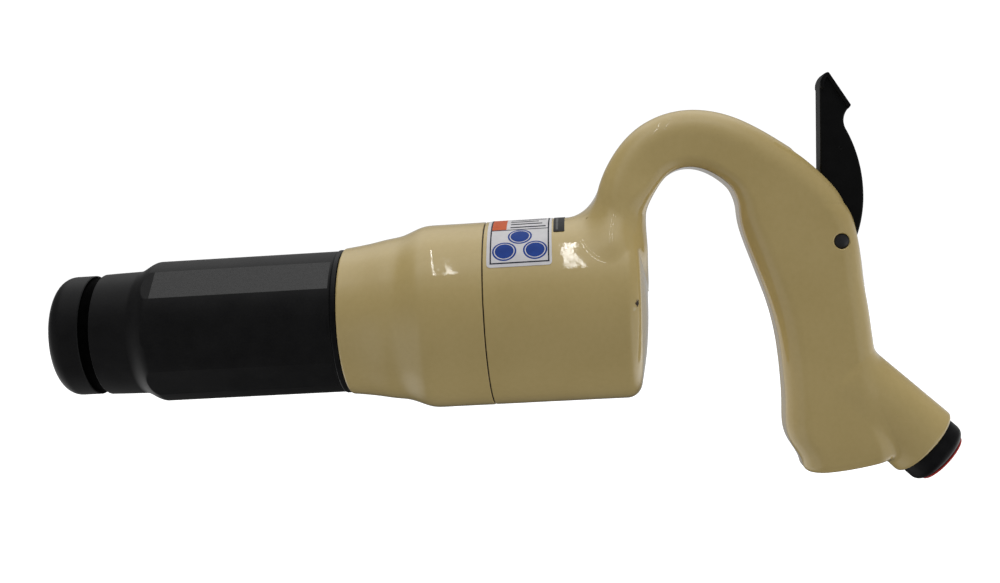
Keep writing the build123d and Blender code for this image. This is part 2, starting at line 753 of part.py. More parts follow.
with BuildPart() as rating_label:
    low, high = RATING_LABEL_TURN
    revolve(label_profile(RATING_LABEL_X, low), axis=AXIS_X, revolution_arc=low - high)
finish(rating_label, "rating_label")
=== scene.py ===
import json
from functools import partial
from math import atan2, cos, degrees, hypot, pi, radians, sin, tan

import bmesh
import bpy
import numpy as np
from mathutils import Matrix, Vector

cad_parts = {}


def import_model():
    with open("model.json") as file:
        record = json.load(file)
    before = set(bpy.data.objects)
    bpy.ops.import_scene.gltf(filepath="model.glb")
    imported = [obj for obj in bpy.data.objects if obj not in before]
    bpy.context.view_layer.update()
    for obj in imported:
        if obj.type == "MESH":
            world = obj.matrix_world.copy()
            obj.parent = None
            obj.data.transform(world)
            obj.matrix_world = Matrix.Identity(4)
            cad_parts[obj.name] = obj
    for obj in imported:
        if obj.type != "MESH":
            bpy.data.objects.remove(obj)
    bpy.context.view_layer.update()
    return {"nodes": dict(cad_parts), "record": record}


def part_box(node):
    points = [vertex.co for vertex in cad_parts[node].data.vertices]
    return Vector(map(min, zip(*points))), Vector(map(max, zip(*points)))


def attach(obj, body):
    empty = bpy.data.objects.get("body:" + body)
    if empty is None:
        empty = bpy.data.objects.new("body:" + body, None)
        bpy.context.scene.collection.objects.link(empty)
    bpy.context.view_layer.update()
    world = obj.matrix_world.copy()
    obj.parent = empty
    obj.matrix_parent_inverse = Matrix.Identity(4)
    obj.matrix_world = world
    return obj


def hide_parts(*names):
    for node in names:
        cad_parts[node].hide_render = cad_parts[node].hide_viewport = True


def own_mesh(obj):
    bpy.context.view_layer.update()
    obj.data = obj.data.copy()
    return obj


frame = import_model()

# Pneumatic chipping hammer.  Work is in millimetres; meshes are written in metres.
MM = 0.001


def span(node):
    """Lowest and highest corners of a CAD node, in millimetres."""
    low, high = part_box(node)
    return np.array(low) / MM, np.array(high) / MM


def mount(name):
    """Place and direction of a mount, in millimetres."""
    row = next(m for m in frame["record"]["mounts"] if m["name"] == name)
    return np.array(row["pos_m"]) / MM, np.array(row["axis"])


# ---------------------------------------- mesh helpers
def mesh_object(name, points, faces, body, replaced, normals=None):
    """A smooth-shaded piece from points in millimetres."""
    mesh = bpy.data.meshes.new(name)
    mesh.vertices.add(len(points))
    mesh.vertices.foreach_set("co", (np.asarray(points) * MM).astype(np.float32).ravel())
    sizes = np.array([len(f) for f in faces], np.int32)
    mesh.loops.add(int(sizes.sum()))
    mesh.loops.foreach_set("vertex_index", np.concatenate(faces).astype(np.int32))
    mesh.polygons.add(len(faces))
    mesh.polygons.foreach_set("loop_start", (np.cumsum(sizes) - sizes).astype(np.int32))
    mesh.update(calc_edges=True)
    mesh.validate()
    mesh.polygons.foreach_set("use_smooth", np.ones(len(faces), bool))
    if normals is not None:
        mesh.normals_split_custom_set_from_vertices(normals.tolist())
    piece = bpy.data.objects.new(name, mesh)
    bpy.context.scene.collection.objects.link(piece)
    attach(piece, body)
    if replaced:
        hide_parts(*replaced)
    return piece


def graded(low, high, step, fine=()):
    """Grid lines from low to high, closer together in each (start, end, step) of fine."""
    lines = [low]
    while lines[-1] < high:
        here = lines[-1]
        wanted = step
        for start, end, small in fine:
            away = max(start - here, here - end, 0)
            wanted = min(wanted, small + 0.25 * away)
        lines.append(here + wanted)
    return np.array(lines)


def mirrored(lines):
    """Grid lines from 0 upwards, and the same below 0."""
    return np.concatenate([-lines[:0:-1], lines])


def gradient(field, p, reach=0.02):
    """Numerical gradient of a field at the points p."""
    out = np.empty_like(p)
    for axis in range(3):
        step = np.zeros(3)
        step[axis] = reach
        ahead, behind = (p + step).T, (p - step).T
        out[:, axis] = (field(*ahead) - field(*behind)) / (2 * reach)
    return out


def onto_surface(field, p, rounds, limit):
    """Move points onto the field's zero level, at most limit in one round."""
    for _ in range(rounds):
        slope = gradient(field, p)
        size = np.maximum((slope ** 2).sum(1), 0.05)
        move = -(field(*p.T) / size)[:, None] * slope
        length = np.linalg.norm(move, axis=1, keepdims=True)
        p = p + move * np.minimum(1, limit / np.maximum(length, 1e-9))
    return p


def surface_net(field, xs, ys, zs):
    """Quads on the zero level of field(x, y, z), which is negative inside the solid.

    Each grid edge that crosses the surface gives a quad, whose corners stand for the four cells
    round the edge.  A corner lies at the mean of the crossings on its cell's edges.
    """
    lines = (xs, ys, zs)
    value = field(xs[:, None, None], ys[None, :, None], zs[None, None, :])
    value = np.broadcast_to(value, [len(line) for line in lines])
    quads, crossings = [], []
    for axis in range(3):
        first, second = [slice(None)] * 3, [slice(None)] * 3
        first[axis], second[axis] = slice(-1), slice(1, None)
        a, b = value[tuple(first)], value[tuple(second)]
        edges = np.argwhere((a < 0) != (b < 0))
        a, b = a[tuple(edges.T)], b[tuple(edges.T)]
        spot = np.stack([line[n] for line, n in zip(lines, edges.T)], 1)
        spot[:, axis] += np.diff(lines[axis])[edges[:, axis]] * a / (a - b)
        u, v = np.roll(np.eye(3, dtype=int), -axis - 1, 0)[:2]  # steps across the edge
        cells = [np.ravel_multi_index((edges - step).T, value.shape) for step in (u + v, v, 0 * u, u)]
        quad = np.stack(cells, 1)
        quads.append(np.where((a < 0)[:, None], quad, quad[:, ::-1]))
        crossings.append(spot)
    quads = np.unique(np.concatenate(quads), return_inverse=True)[1].ravel()
    crossings = np.repeat(np.concatenate(crossings), 4, axis=0)
    points = np.stack([np.bincount(quads, crossings[:, n]) for n in range(3)], 1)
    return points / np.bincount(quads)[:, None], quads.reshape(-1, 4)


def relaxed(points, quads):
    """Each point at the mean of its neighbours."""
    ends = np.concatenate([quads[:, [n, (n + 1) % 4]] for n in range(4)])
    ends = np.concatenate([ends, ends[:, ::-1]])
    count = np.bincount(ends[:, 0], minlength=len(points))
    sums = [np.bincount(ends[:, 0], points[ends[:, 1], n], len(points)) for n in range(3)]
    return np.stack(sums, 1) / count[:, None]


def solid_mesh(name, field, grids, body, replaced, rounds=3, limit=0.4):
    """A piece whose surface is the field's zero level, as even quads with exact normals."""
    points, quads = surface_net(field, *grids)
    for _ in range(rounds):
        points = onto_surface(field, 0.4 * points + 0.6 * relaxed(points, quads), 1, limit)
    points = onto_surface(field, points, 2, limit)
    normals = gradient(field, points)
    normals /= np.maximum(np.linalg.norm(normals, axis=1, keepdims=True), 1e-9)
    return mesh_object(name, points, quads, body, replaced, normals)


# ---------------------------------------- fields
def cubic(knots, values):
    """Natural cubic spline through the values, held constant beyond its ends."""
    t, v = np.array(knots, float), np.array(values, float)
    h = np.diff(t)
    slope = np.diff(v) / h
    system = np.eye(len(t))
    right = np.zeros(len(t))
    for i in range(1, len(t) - 1):
        system[i, i - 1 : i + 2] = h[i - 1], 2 * (h[i - 1] + h[i]), h[i]
        right[i] = 6 * (slope[i] - slope[i - 1])
    bend = np.linalg.solve(system, right)

    def at(s):
        s = np.clip(s, t[0], t[-1])
        i = np.clip(np.searchsorted(t, s) - 1, 0, len(t) - 2)
        a, b, w = t[i + 1] - s, s - t[i], h[i]
        curve = (bend[i] * a ** 3 + bend[i + 1] * b ** 3) / (6 * w)
        return curve + (v[i] / w - bend[i] * w / 6) * a + (v[i + 1] / w - bend[i + 1] * w / 6) * b

    return at


def smooth_step(x, start, end):
    """0 before start, 1 after end, with a smooth rise between them."""
    t = np.clip((x - start) / (end - start), 0, 1)
    return t * t * (3 - 2 * t)


def both(a, b, r):
    """Inside both fields, with an edge of radius r."""
    return np.minimum(np.maximum(a, b), -r) + np.hypot(np.maximum(a + r, 0), np.maximum(b + r, 0))


def either(a, b, r):
    """Inside either field, with a fillet of radius r between them."""
    return -both(-a, -b, r)


def less(a, b, r):
    """Inside a and outside b, with an edge of radius r."""
    return both(a, -b, r)


def swell(x, y, z, size, length):
    """A gentle uneven wave, as on a sand-cast surface."""
    total = 0
    for n in range(9):
        turn, tilt = 2.4 * n, 1.1 * n + 0.3
        k = 2 * pi / (length * (0.7 + 0.09 * n))
        way = (cos(turn) * cos(tilt), sin(turn) * cos(tilt), sin(tilt))
        total = total + np.sin(k * (way[0] * x + way[1] * y + way[2] * z) + 1.7 * n)
    return total * size / 4


# ---------------------------------------- handle casting
HOUSING_LOW, HOUSING_HIGH = span("handle_casting")
SPIGOT_X = HOUSING_LOW[0]
SKIN = 0.05  # room left inside the CAD's round outlines
HOUSING_R = HOUSING_HIGH[1] - SKIN
SEAM_X = span("deflector_seal")[1][0]
SPIGOT_R = 34.9
HOUSING_END_X = 251.3
HOUSING_CORNER_R = 4.8
HOUSING_CROWN = 3.6  # how far the rear face falls from its middle to its rim
HOUSING_LEAN = 0.025  # slope of the rear face
SEAM_EDGE = 0.2  # edge of the housing's front face, which stands as far forward
SOCKET_R = span("barrel")[1][1] + 0.05
SOCKET_END_X = span("barrel")[1][0] + 1
POCKET_R = span("valve_box")[1][1] + 0.1
POCKET_END_X = span("valve_box_clamp_washer")[1][0]

ARCH_X, ARCH_Z = 270.5, 37.5  # centre of the arch
ARCH_LENGTH = 94.25  # along the arch, for half a turn
INLET, INLET_WAY = mount("air_inlet")
BOSS_R = 15.9
BOSS_LENGTH = 45.0
BOSS_MOUTH = -1.2  # end of the boss, along the inlet axis from its mount
BOSS_DRAFT = 0.015  # the boss narrows inwards
PIN_LOW, PIN_HIGH = span("lever_pin")
PIN_X, PIN_Z = (PIN_LOW[0] + PIN_HIGH[0]) / 2, (PIN_LOW[2] + PIN_HIGH[2]) / 2
PIN_R = (PIN_HIGH[0] - PIN_LOW[0]) / 2
SLOT_HALF = 6.6  # half the width of the lever's slot
SLOT_FOOT_R = 8.0
LEVER_SWING = radians(12)  # how far the lever turns, which the slot's front wall follows
BUSH_LOW, BUSH_HIGH = span("throttle_bush")
THROTTLE_Z = (BUSH_LOW[2] + BUSH_HIGH[2]) / 2
BUSH_R = BUSH_HIGH[1]
HEEL_LOW = (314.0, -72.4)  # lowest place of the heel, whose underside is a parabola
HEEL_BEND = 0.0042
HEEL_EDGE = 3.2
ROOT_R = 12.0  # fillet round the neck's root, tighter at the housing's rear
ROOT_REAR_R = 2.0
BOSS_EDGE = 1.7
BOSS_ROOT_R = 2.6
CAST_WAVE = (0.02, 14)  # height and length of the casting's unevenness
INLET_BORE = (10.5, 22)  # radius and depth of the inlet's bore, and of the screen's
SCREEN_BORE = (6.6, 40)
CHAMBER = (5.6, 294.5)  # radius of the spring's chamber, and where it starts
NECK_FOOT = 31.0  # the neck's foot inside the housing, below the arch's centre

# Stations along the neck, arch and grip: place along the strip; distance of its inner and outer
# faces from the arch's centre line; half width; and the radius of its outer long edges.
STRIP = (
    (-31.5, 19.3, 42.5, 17.0, 9.0),
    (-26.5, 18.8, 42.0, 22.5, 9.2),
    (-20.0, 18.7, 41.2, 27.0, 9.4),
    (-13.5, 18.6, 40.5, 28.6, 9.6),
    (0.0, 18.4, 39.5, 23.0, 10.0),
    (9.5, 17.3, 39.2, 20.4, 10.2),
    (19.5, 16.9, 39.5, 17.8, 10.2),
    (31.4, 17.8, 41.0, 15.8, 10.4),
    (47.1, 18.4, 42.1, 14.4, 10.8),
    (62.2, 18.1, 42.9, 13.8, 11.0),
    (70.0, 18.3, 44.3, 13.8, 11.0),
    (76.1, 18.8, 46.8, 13.9, 11.0),
    (81.2, 19.2, 50.3, 13.9, 10.8),
    (85.6, 19.3, 54.0, 14.0, 10.6),
    (88.7, 19.4, 57.2, 14.1, 10.4),
    (92.3, 19.5, 61.0, 14.2, 10.2),
    (98.9, 19.9, 65.1, 14.3, 9.8),
    (106.2, 21.5, 66.8, 14.4, 9.6),
    (114.1, 24.0, 67.8, 14.5, 9.5),
    (126.6, 28.1, 68.7, 14.6, 9.5),
    (136.8, 31.0, 69.8, 14.8, 9.5),
    (152.0, 33.5, 71.2, 15.0, 9.5),
    (162.1, 34.2, 72.2, 15.1, 9.6),
    (177.2, 34.4, 74.2, 15.4, 10.0),
    (187.3, 34.6, 77.0, 15.4, 10.0),
    (192.4, 36.4, 78.5, 15.3, 9.8),
    (197.6, 39.4, 79.0, 14.9, 9.4),
    (200.0, 40.3, 79.0, 14.6, 9.3),
    (206.0, 40.7, 79.0, 14.0, 9.0),
    (212.0, 40.8, 79.0, 13.6, 9.0),
)
strip_inner, strip_outer, strip_half, strip_edge = (
    cubic([row[0] for row in STRIP], [row[n] for row in STRIP]) for n in range(1, 5)
)


def strip_place(x, z):
    """Place along the neck, arch and grip, and distance from the arch's centre line."""
    dx, dz = x - ARCH_X, z - ARCH_Z
    above = dz > 0
    turn = np.arctan2(np.maximum(dz, 0), dx)
    along = np.where(above, ARCH_LENGTH * (1 - turn / pi), np.where(dx > 0, ARCH_LENGTH - dz, dz))
    away = np.where(above, np.hypot(dx, dz), np.abs(dx))
    return along, away


def strip_field(x, y, z):
    """Neck, arch and grip as one bent strip with rounded edges."""
    along, away = strip_place(x, z)
    stretch = np.where(z > ARCH_Z, ARCH_LENGTH / pi / np.maximum(away, 8), 1)
    outer_slope = (strip_outer(along + 0.5) - strip_outer(along - 0.5)) * stretch
    inner_slope = (strip_inner(along + 0.5) - strip_inner(along - 0.5)) * stretch
    outer = (away - strip_outer(along)) / np.sqrt(1 + outer_slope ** 2)
    inner = (strip_inner(along) - away) / np.sqrt(1 + inner_slope ** 2)
    side_slope = (strip_half(along + 0.5) - strip_half(along - 0.5)) * stretch
    sides = (np.abs(y) - strip_half(along)) / np.sqrt(1 + side_slope ** 2)
    inner_edge = 5.0 + 9.0 * smooth_step(-along, -24, 12) + 4.5 * smooth_step(along, 70, 115)
    return np.maximum(both(outer, sides, strip_edge(along)), both(inner, sides, inner_edge))


def inlet_place(x, y, z):
    """Place along the inlet's axis from its mount, height across the axis, and distance from it."""
    dx, dz = x - INLET[0], z - INLET[2]
    along = dx * INLET_WAY[0] + dz * INLET_WAY[2]
    up = dz * INLET_WAY[0] - dx * INLET_WAY[2]
    return along, up, np.hypot(up, y)


def boss_field(x, y, z):
    """The inlet's round boss, with a rounded mouth."""
    along, _, away = inlet_place(x, y, z)
    round_side = away - BOSS_R - BOSS_DRAFT * np.clip(along, -BOSS_LENGTH, 0)
    return both(round_side, np.maximum(along - BOSS_MOUTH, -along - BOSS_LENGTH), BOSS_EDGE)


def housing_field(x, y, z):
    """The round housing with its spigot."""
    away = np.hypot(y, z)
    crown = HOUSING_CROWN * (away / (HOUSING_R - HOUSING_CORNER_R)) ** 2
    slope = 2 * HOUSING_CROWN * away / (HOUSING_R - HOUSING_CORNER_R) ** 2
    rear = (x - HOUSING_LEAN * z + crown - HOUSING_END_X) / np.sqrt(1 + slope ** 2)
    shell = both(away - HOUSING_R, rear, HOUSING_CORNER_R)
    shell = both(shell, SEAM_X - SEAM_EDGE - x, SEAM_EDGE)
    spigot = both(away - SPIGOT_R, SPIGOT_X - x, 0.4)
    return np.minimum(shell, np.maximum(spigot, x - SEAM_X - 5))


def slot_field(x, y, z):
    """The slot that the lever swings in, round at the pin."""
    wall = cos(LEVER_SWING) * (PIN_X - SLOT_FOOT_R - x) - sin(LEVER_SWING) * (z - PIN_Z)
    well = np.hypot(x - PIN_X, z - PIN_Z) - SLOT_FOOT_R
    ahead = np.maximum(wall, PIN_Z - z)
    behind = np.maximum(PIN_X - x, PIN_Z - SLOT_FOOT_R - z)
    return both(np.minimum(well, np.minimum(ahead, behind)), np.abs(y) - SLOT_HALF, 0.6)


def bores_field(x, y, z):
    """What is bored out of the casting."""
    away = np.hypot(y, z)
    socket = np.maximum(away - SOCKET_R, x - SOCKET_END_X)
    pocket = np.maximum(away - POCKET_R, x - POCKET_END_X)
    up = np.hypot(y, z - THROTTLE_Z)
    bush = np.maximum(up - BUSH_R - 0.05, BUSH_LOW[0] - x)
    chamber = np.maximum(up - CHAMBER[0], CHAMBER[1] - x)
    throttle = np.maximum(np.minimum(bush, chamber), x - BUSH_HIGH[0] - 3)
    along, _, out = inlet_place(x, y, z)
    inlet = np.maximum(out - INLET_BORE[0], -INLET_BORE[1] - along)
    screen = np.maximum(out - SCREEN_BORE[0], -SCREEN_BORE[1] - along)
    pin = np.hypot(x - PIN_X, z - PIN_Z) - PIN_R
    rough = np.minimum(np.minimum(socket, pocket), np.minimum(throttle, np.minimum(inlet, screen)))
    return np.minimum(rough, pin)


def handle_field(x, y, z):
    """The whole casting: neck, arch, grip and heel joined to the housing and boss, then bored out."""
    strip = strip_field(x, y, z)
    strip = np.maximum(strip, np.where(x < ARCH_X, ARCH_Z - NECK_FOOT - z, -1e3))
    underside = HEEL_LOW[1] + HEEL_BEND * (x - HEEL_LOW[0]) ** 2
    heel = both(strip, underside - z, HEEL_EDGE)
    facing = np.abs(y) / np.maximum(np.hypot(y, z), 1)
    root = (ROOT_R + (ROOT_REAR_R - ROOT_R) * smooth_step(x, 236, 249)) * (1 - 0.55 * facing)
    body = either(housing_field(x, y, z), heel, root)
    body = either(body, boss_field(x, y, z), BOSS_ROOT_R)
    body = body + swell(x, y, z, *CAST_WAVE)
    body = less(body, slot_field(x, y, z), 1.0)
    return less(body, bores_field(x, y, z), 0.6)


def handle_casting():
    step = 0.85
    reach = HOUSING_R + 2
    xs = graded(SPIGOT_X - 2, HOUSING_HIGH[0] + 6, step, [(185.3, 186.4, 0.25), (325.5, 334, 0.4)])
    ys = mirrored(graded(0, reach, step, [(5.5, 7.5, 0.4)]))
    zs = graded(HOUSING_LOW[2] - 4, HOUSING_HIGH[2] + 6, step, [(13, 26, 0.4)])
    return solid_mesh(
        "handle_body", handle_field, (xs, ys, zs), "hammer", ["handle_casting"]
    )


# ---------------------------------------- materials
def add_node(tree, kind, inputs, **settings):
    """A new node, whose inputs are set to values or linked to sockets."""
    made = tree.nodes.new(kind)
    for key, value in settings.items():
        setattr(made, key, value)
    for key, value in inputs.items():
        if isinstance(value, bpy.types.NodeSocket):
            tree.links.new(value, made.inputs[key])
        else:
            made.inputs[key].default_value = value
    return made


class Paint:
    """A node material whose textures are laid out in object space, in millimetres."""

    def __init__(self, name, **constants):
        self.material = bpy.data.materials.new(name)
        self.material.use_nodes = True
        self.tree = self.material.node_tree
        self.node = partial(add_node, self.tree)
        self.shader = self.tree.nodes["Principled BSDF"]
        for key, value in constants.items():
            self.shader.inputs[key.replace("_", " ")].default_value = value
        place = self.tree.nodes.new("ShaderNodeTexCoord").outputs["Object"]
        self.place = self.vector("SCALE", place, Scale=1 / MM)

    def vector(self, operation, *values, **named):
        inputs = dict(enumerate(values))
        inputs.update(named)
        return self.node("ShaderNodeVectorMath", inputs, operation=operation).outputs[0]

    def maths(self, operation, *values):
        return self.node("ShaderNodeMath", dict(enumerate(values)), operation=operation).outputs[0]

    def noise(self, size, detail=2.0, roughness=0.5, place=None):
        """Noise from 0 to 1 whose grain is about size millimetres."""
        inputs = {"Vector": place or self.place, "Scale": 1 / size, "Detail": detail}
        return self.node("ShaderNodeTexNoise", {**inputs, "Roughness": roughness}).outputs["Fac"]

    def ramp(self, value, start, end, low=0.0, high=1.0):
        inputs = {"Value": value, "From Min": start, "From Max": end, "To Min": low, "To Max": high}
        return self.node("ShaderNodeMapRange", inputs).outputs["Result"]

    def blend(self, share, a, b):
        inputs = {"Factor": share, 6: a, 7: b}
        return self.node("ShaderNodeMix", inputs, data_type="RGBA").outputs[2]

    def near(self, centre, size, squeeze=(1, 1, 1)):
        """1 at a point in millimetres, falling to 0 at size from it."""
        away = self.vector("SUBTRACT", self.place, tuple(centre))
        away = self.vector("MULTIPLY", away, squeeze)
        length = self.node("ShaderNodeVectorMath", {0: away}, operation="LENGTH").outputs["Value"]
        return self.ramp(length, 0, size, 1, 0)

    def colour(self, value):
        self.tree.links.new(value, self.shader.inputs["Base Color"])

    def rough(self, value):
        self.tree.links.new(value, self.shader.inputs["Roughness"])

    def bumps(self, *layers):
        """Stack of (height, depth in millimetres) bumps."""
        normal = None
        for height, depth in layers:
            inputs = {"Height": height, "Distance": depth * MM, "Strength": 1.0}
            if normal is not None:
                inputs["Normal"] = normal
            normal = self.node("ShaderNodeBump", inputs).outputs["Normal"]
        self.tree.links.new(normal, self.shader.inputs["Normal"])


def give(piece, *paints):
    piece.data.materials.clear()
    for paint in paints:
        piece.data.materials.append(paint.material)


def enamel():
    """Glossy cream enamel over a casting: orange peel, faint mottling, small chips and scuffs."""
    paint = Paint("cream_enamel_paint", IOR=1.5)
    broad = paint.noise(26, 2)
    fine = paint.noise(2.2, 3, 0.6)
    tone = paint.maths("ADD", paint.maths("MULTIPLY", broad, 0.6), paint.maths("MULTIPLY", fine, 0.4))
    mottle = paint.ramp(tone, 0.36, 0.64)
    colour = paint.blend(mottle, (0.597, 0.454, 0.185, 1), (0.637, 0.490, 0.209, 1))
    specks = paint.ramp(paint.noise(0.9, 2, 0.7), 0.735, 0.80)
    colour = paint.blend(paint.maths("MULTIPLY", specks, 0.35), colour, (0.20, 0.15, 0.08, 1))
    uneven = paint.maths("MULTIPLY", paint.noise(1.0, 3, 0.7), 0.9)
    near_chip = paint.near((246.4, -36.8, 2.7), 3.2, (1, 1, 0.7))
    near_scuff = paint.near((244.8, -37.6, 0.9), 2.6)
    chip = paint.ramp(paint.maths("ADD", near_chip, uneven), 1.10, 1.18)
    scuff = paint.ramp(paint.maths("ADD", near_scuff, uneven), 1.10, 1.30)
    colour = paint.blend(paint.maths("MULTIPLY", scuff, 0.5), colour, (0.74, 0.66, 0.44, 1))
    colour = paint.blend(chip, colour, (0.03, 0.015, 0.01, 1))
    paint.colour(colour)
    gloss = paint.ramp(paint.noise(5, 3, 0.6), 0.3, 0.7, 0.025, 0.05)
    paint.rough(paint.maths("ADD", gloss, paint.maths("MULTIPLY", chip, 0.5)))
    peel = paint.noise(1.7, 1, 0.5)
    grain = paint.noise(0.62, 2, 0.6)
    cast = paint.noise(7, 1, 0.5)
    pit = paint.maths("MULTIPLY", chip, -1)
    paint.bumps((cast, 0.013), (peel, 0.0045), (grain, 0.0008), (pit, 0.12))
    return paint


def black_oxide():
    """Blackened turned steel: faint turning marks, speckle and slightly worn, lighter patches."""
    paint = Paint("black_oxide_finish", IOR=1.18)
    stretched = paint.vector("MULTIPLY", paint.place, (1.0, 0.16, 0.16))
    lines = paint.noise(0.5, 3, 0.7, place=stretched)
    speckle = paint.noise(0.55, 3, 0.75)
    cloud = paint.noise(14, 3, 0.6)
    tone = paint.maths("ADD", paint.maths("MULTIPLY", speckle, 0.5), paint.maths("MULTIPLY", cloud, 0.5))
    wear = paint.ramp(tone, 0.35, 0.65)
    paint.colour(paint.blend(wear, (0.008, 0.008, 0.0085, 1), (0.015, 0.015, 0.0155, 1)))
    paint.rough(paint.ramp(paint.maths("ADD", speckle, cloud), 0.7, 1.3, 0.31, 0.42))
    paint.bumps((lines, 0.012), (speckle, 0.008))
    return paint


def milled_black():
    """Blackened milled steel: a lighter, grainy surface with milling marks along the flats. Painted
    light: only the two upper flats get it, and the other flats are milled alike but keep the darker
    turned finish.
    """
    paint = Paint("lit_flats_milled_finish", IOR=1.42)
    stretched = paint.vector("MULTIPLY", paint.place, (0.10, 1.0, 1.0))
    lines = paint.noise(0.7, 3, 0.7, place=stretched)
    speckle = paint.noise(0.7, 3, 0.8)
    tone = paint.maths("ADD", paint.maths("MULTIPLY", speckle, 0.7), paint.maths("MULTIPLY", lines, 0.3))
    sparkle = paint.ramp(tone, 0.38, 0.62)
    paint.colour(paint.blend(sparkle, (0.001, 0.001, 0.0012, 1), (0.009, 0.009, 0.0095, 1)))
    paint.rough(paint.ramp(speckle, 0.38, 0.62, 0.20, 0.48))
    paint.bumps((lines, 0.010), (speckle, 0.016))
    return paint


def bright_steel(name, colour, roughness, mark=0.35):
    """Ground steel with fine grinding lines round the axis."""
    paint = Paint(name, Metallic=1.0)
    stretched = paint.vector("MULTIPLY", paint.place, (1.0, 0.12, 0.12))
    lines = paint.noise(mark, 3, 0.7, place=stretched)
    stain = paint.noise(9, 3, 0.6)
    dark = tuple(0.72 * c for c in colour)
    paint.colour(paint.blend(paint.ramp(stain, 0.35, 0.7), (*colour, 1), (*dark, 1)))
    paint.rough(paint.ramp(lines, 0.3, 0.7, roughness - 0.05, roughness + 0.08))
    paint.bumps((lines, 0.006))
    return paint


def moulded(
    name, low, high, roughness, grain=0.8, ior=1.46, cloud=(5, 2), rasp=0.6, vary=(0.04, 0.06), depth=0.01
):
    """Moulded rubber, plastic or film, with a faint uneven tone and a fine grain."""
    paint = Paint(name, IOR=ior)
    uneven = paint.ramp(paint.noise(*cloud), 0.35, 0.65)
    fine = paint.noise(grain, 3, rasp)
    paint.colour(paint.blend(uneven, (*low, 1), (*high, 1)))
    paint.rough(paint.ramp(fine, 0.3, 0.7, roughness - vary[0], roughness + vary[1]))
    paint.bumps((fine, depth))
    return paint


def black_coat(name, low, high, roughness, grain, ior=1.22):
    """Satin black coating, with a stronger grain than a moulded surface."""
    return moulded(name, low, high, roughness, grain, ior, (6, 3, 0.6), 0.7, (0.06, 0.08), 0.02)


ENAMEL = enamel()
BLACK_OXIDE = black_oxide()
LIT_FLATS_MILLED = milled_black()
BLACK_STEEL = black_coat("black_steel_finish", (0.004, 0.004, 0.0045), (0.009, 0.009, 0.010), 0.36, 0.5)
PIN_STEEL = black_coat("pin_finish", (0.012, 0.012, 0.014), (0.030, 0.030, 0.034), 0.32, 0.5, 1.45)
# Painted shade: the nose groove is made near black and without gloss, so it reads as a dark band.
GROOVE_PAINTED_SHADE = black_coat("groove_painted_shade", (0.0006,) * 3, (0.0018,) * 3, 0.6, 0.5, 1.05)
BLACK_LEVER = black_coat(
    "black_lever_finish", (0.0025, 0.0025, 0.0026), (0.0045, 0.0045, 0.0048), 0.5, 0.4
)
GROUND_STEEL = bright_steel("ground_steel", (0.56, 0.56, 0.57), 0.22)
SPRING_STEEL = bright_steel("spring_steel_finish", (0.42, 0.42, 0.44), 0.28)
BRASS = bright_steel("machined_brass", (0.78, 0.60, 0.30), 0.24)
RUBBER = moulded("black_rubber_finish", (0.020, 0.014, 0.008), (0.034, 0.024, 0.014), 0.6)
RED_PLASTIC = moulded("red_plastic_finish", (0.55, 0.018, 0.012), (0.66, 0.03, 0.02), 0.3)
CAD_FINISHES = (
    (GROUND_STEEL, ("shank_bushing", "piston", "valve_box", "cycle_valve")),
    (GROUND_STEEL, ("valve_box_cover", "valve_box_dowels", "throttle_plunger")),
    (SPRING_STEEL, ("valve_box_clamp_washer",)),
    (BLACK_STEEL, ("deflector_retaining_ring",)),
    (RUBBER, ("deflector_seal", "plunger_seal")),
    (BRASS, ("throttle_bush", "throttle_valve", "inlet_screen")),
)


# ---------------------------------------- outlines
def arc_through(a, b, c, steps=10):
    """Points along the arc from a through b to c, without its last point."""
    (ax, ay), (bx, by), (cx, cy) = a, b, c
    d = 2 * (ax * (by - cy) + bx * (cy - ay) + cx * (ay - by))
    a2, b2, c2 = ax * ax + ay * ay, bx * bx + by * by, cx * cx + cy * cy
    ux = (a2 * (by - cy) + b2 * (cy - ay) + c2 * (ay - by)) / d
    uy = (a2 * (cx - bx) + b2 * (ax - cx) + c2 * (bx - ax)) / d
    start, middle, end = (atan2(y - uy, x - ux) for x, y in (a, b, c))
    sense = 1 if d > 0 else -1
    total = (sense * (end - start)) % (2 * pi) * sense
    radius = hypot(ax - ux, ay - uy)
    turns = [start + total * n / steps for n in range(steps)]
    return [(ux + radius * cos(t), uy + radius * sin(t)) for t in turns]


def outline_field(points):
    """Signed distance from a closed outline, negative inside."""
    p = np.array(points, float)
    q = np.roll(p, -1, 0)

    def at(x, z):
        x, z = np.broadcast_arrays(x, z)
        nearest = np.full(x.shape, 1e9)
        crossings = np.zeros(x.shape, int)
        for (ax, az), (bx, bz) in zip(p, q):
            ex, ez = bx - ax, bz - az
            t = np.clip(((x - ax) * ex + (z - az) * ez) / (ex * ex + ez * ez), 0, 1)
            nearest = np.minimum(nearest, (x - ax - t * ex) ** 2 + (z - az - t * ez) ** 2)
            spans = (az > z) != (bz > z)
            if bz != az:
                crossings += spans & (x < ax + (z - az) * ex / (bz - az))
        return np.sqrt(nearest) * np.where(crossings % 2, -1, 1)

    return at


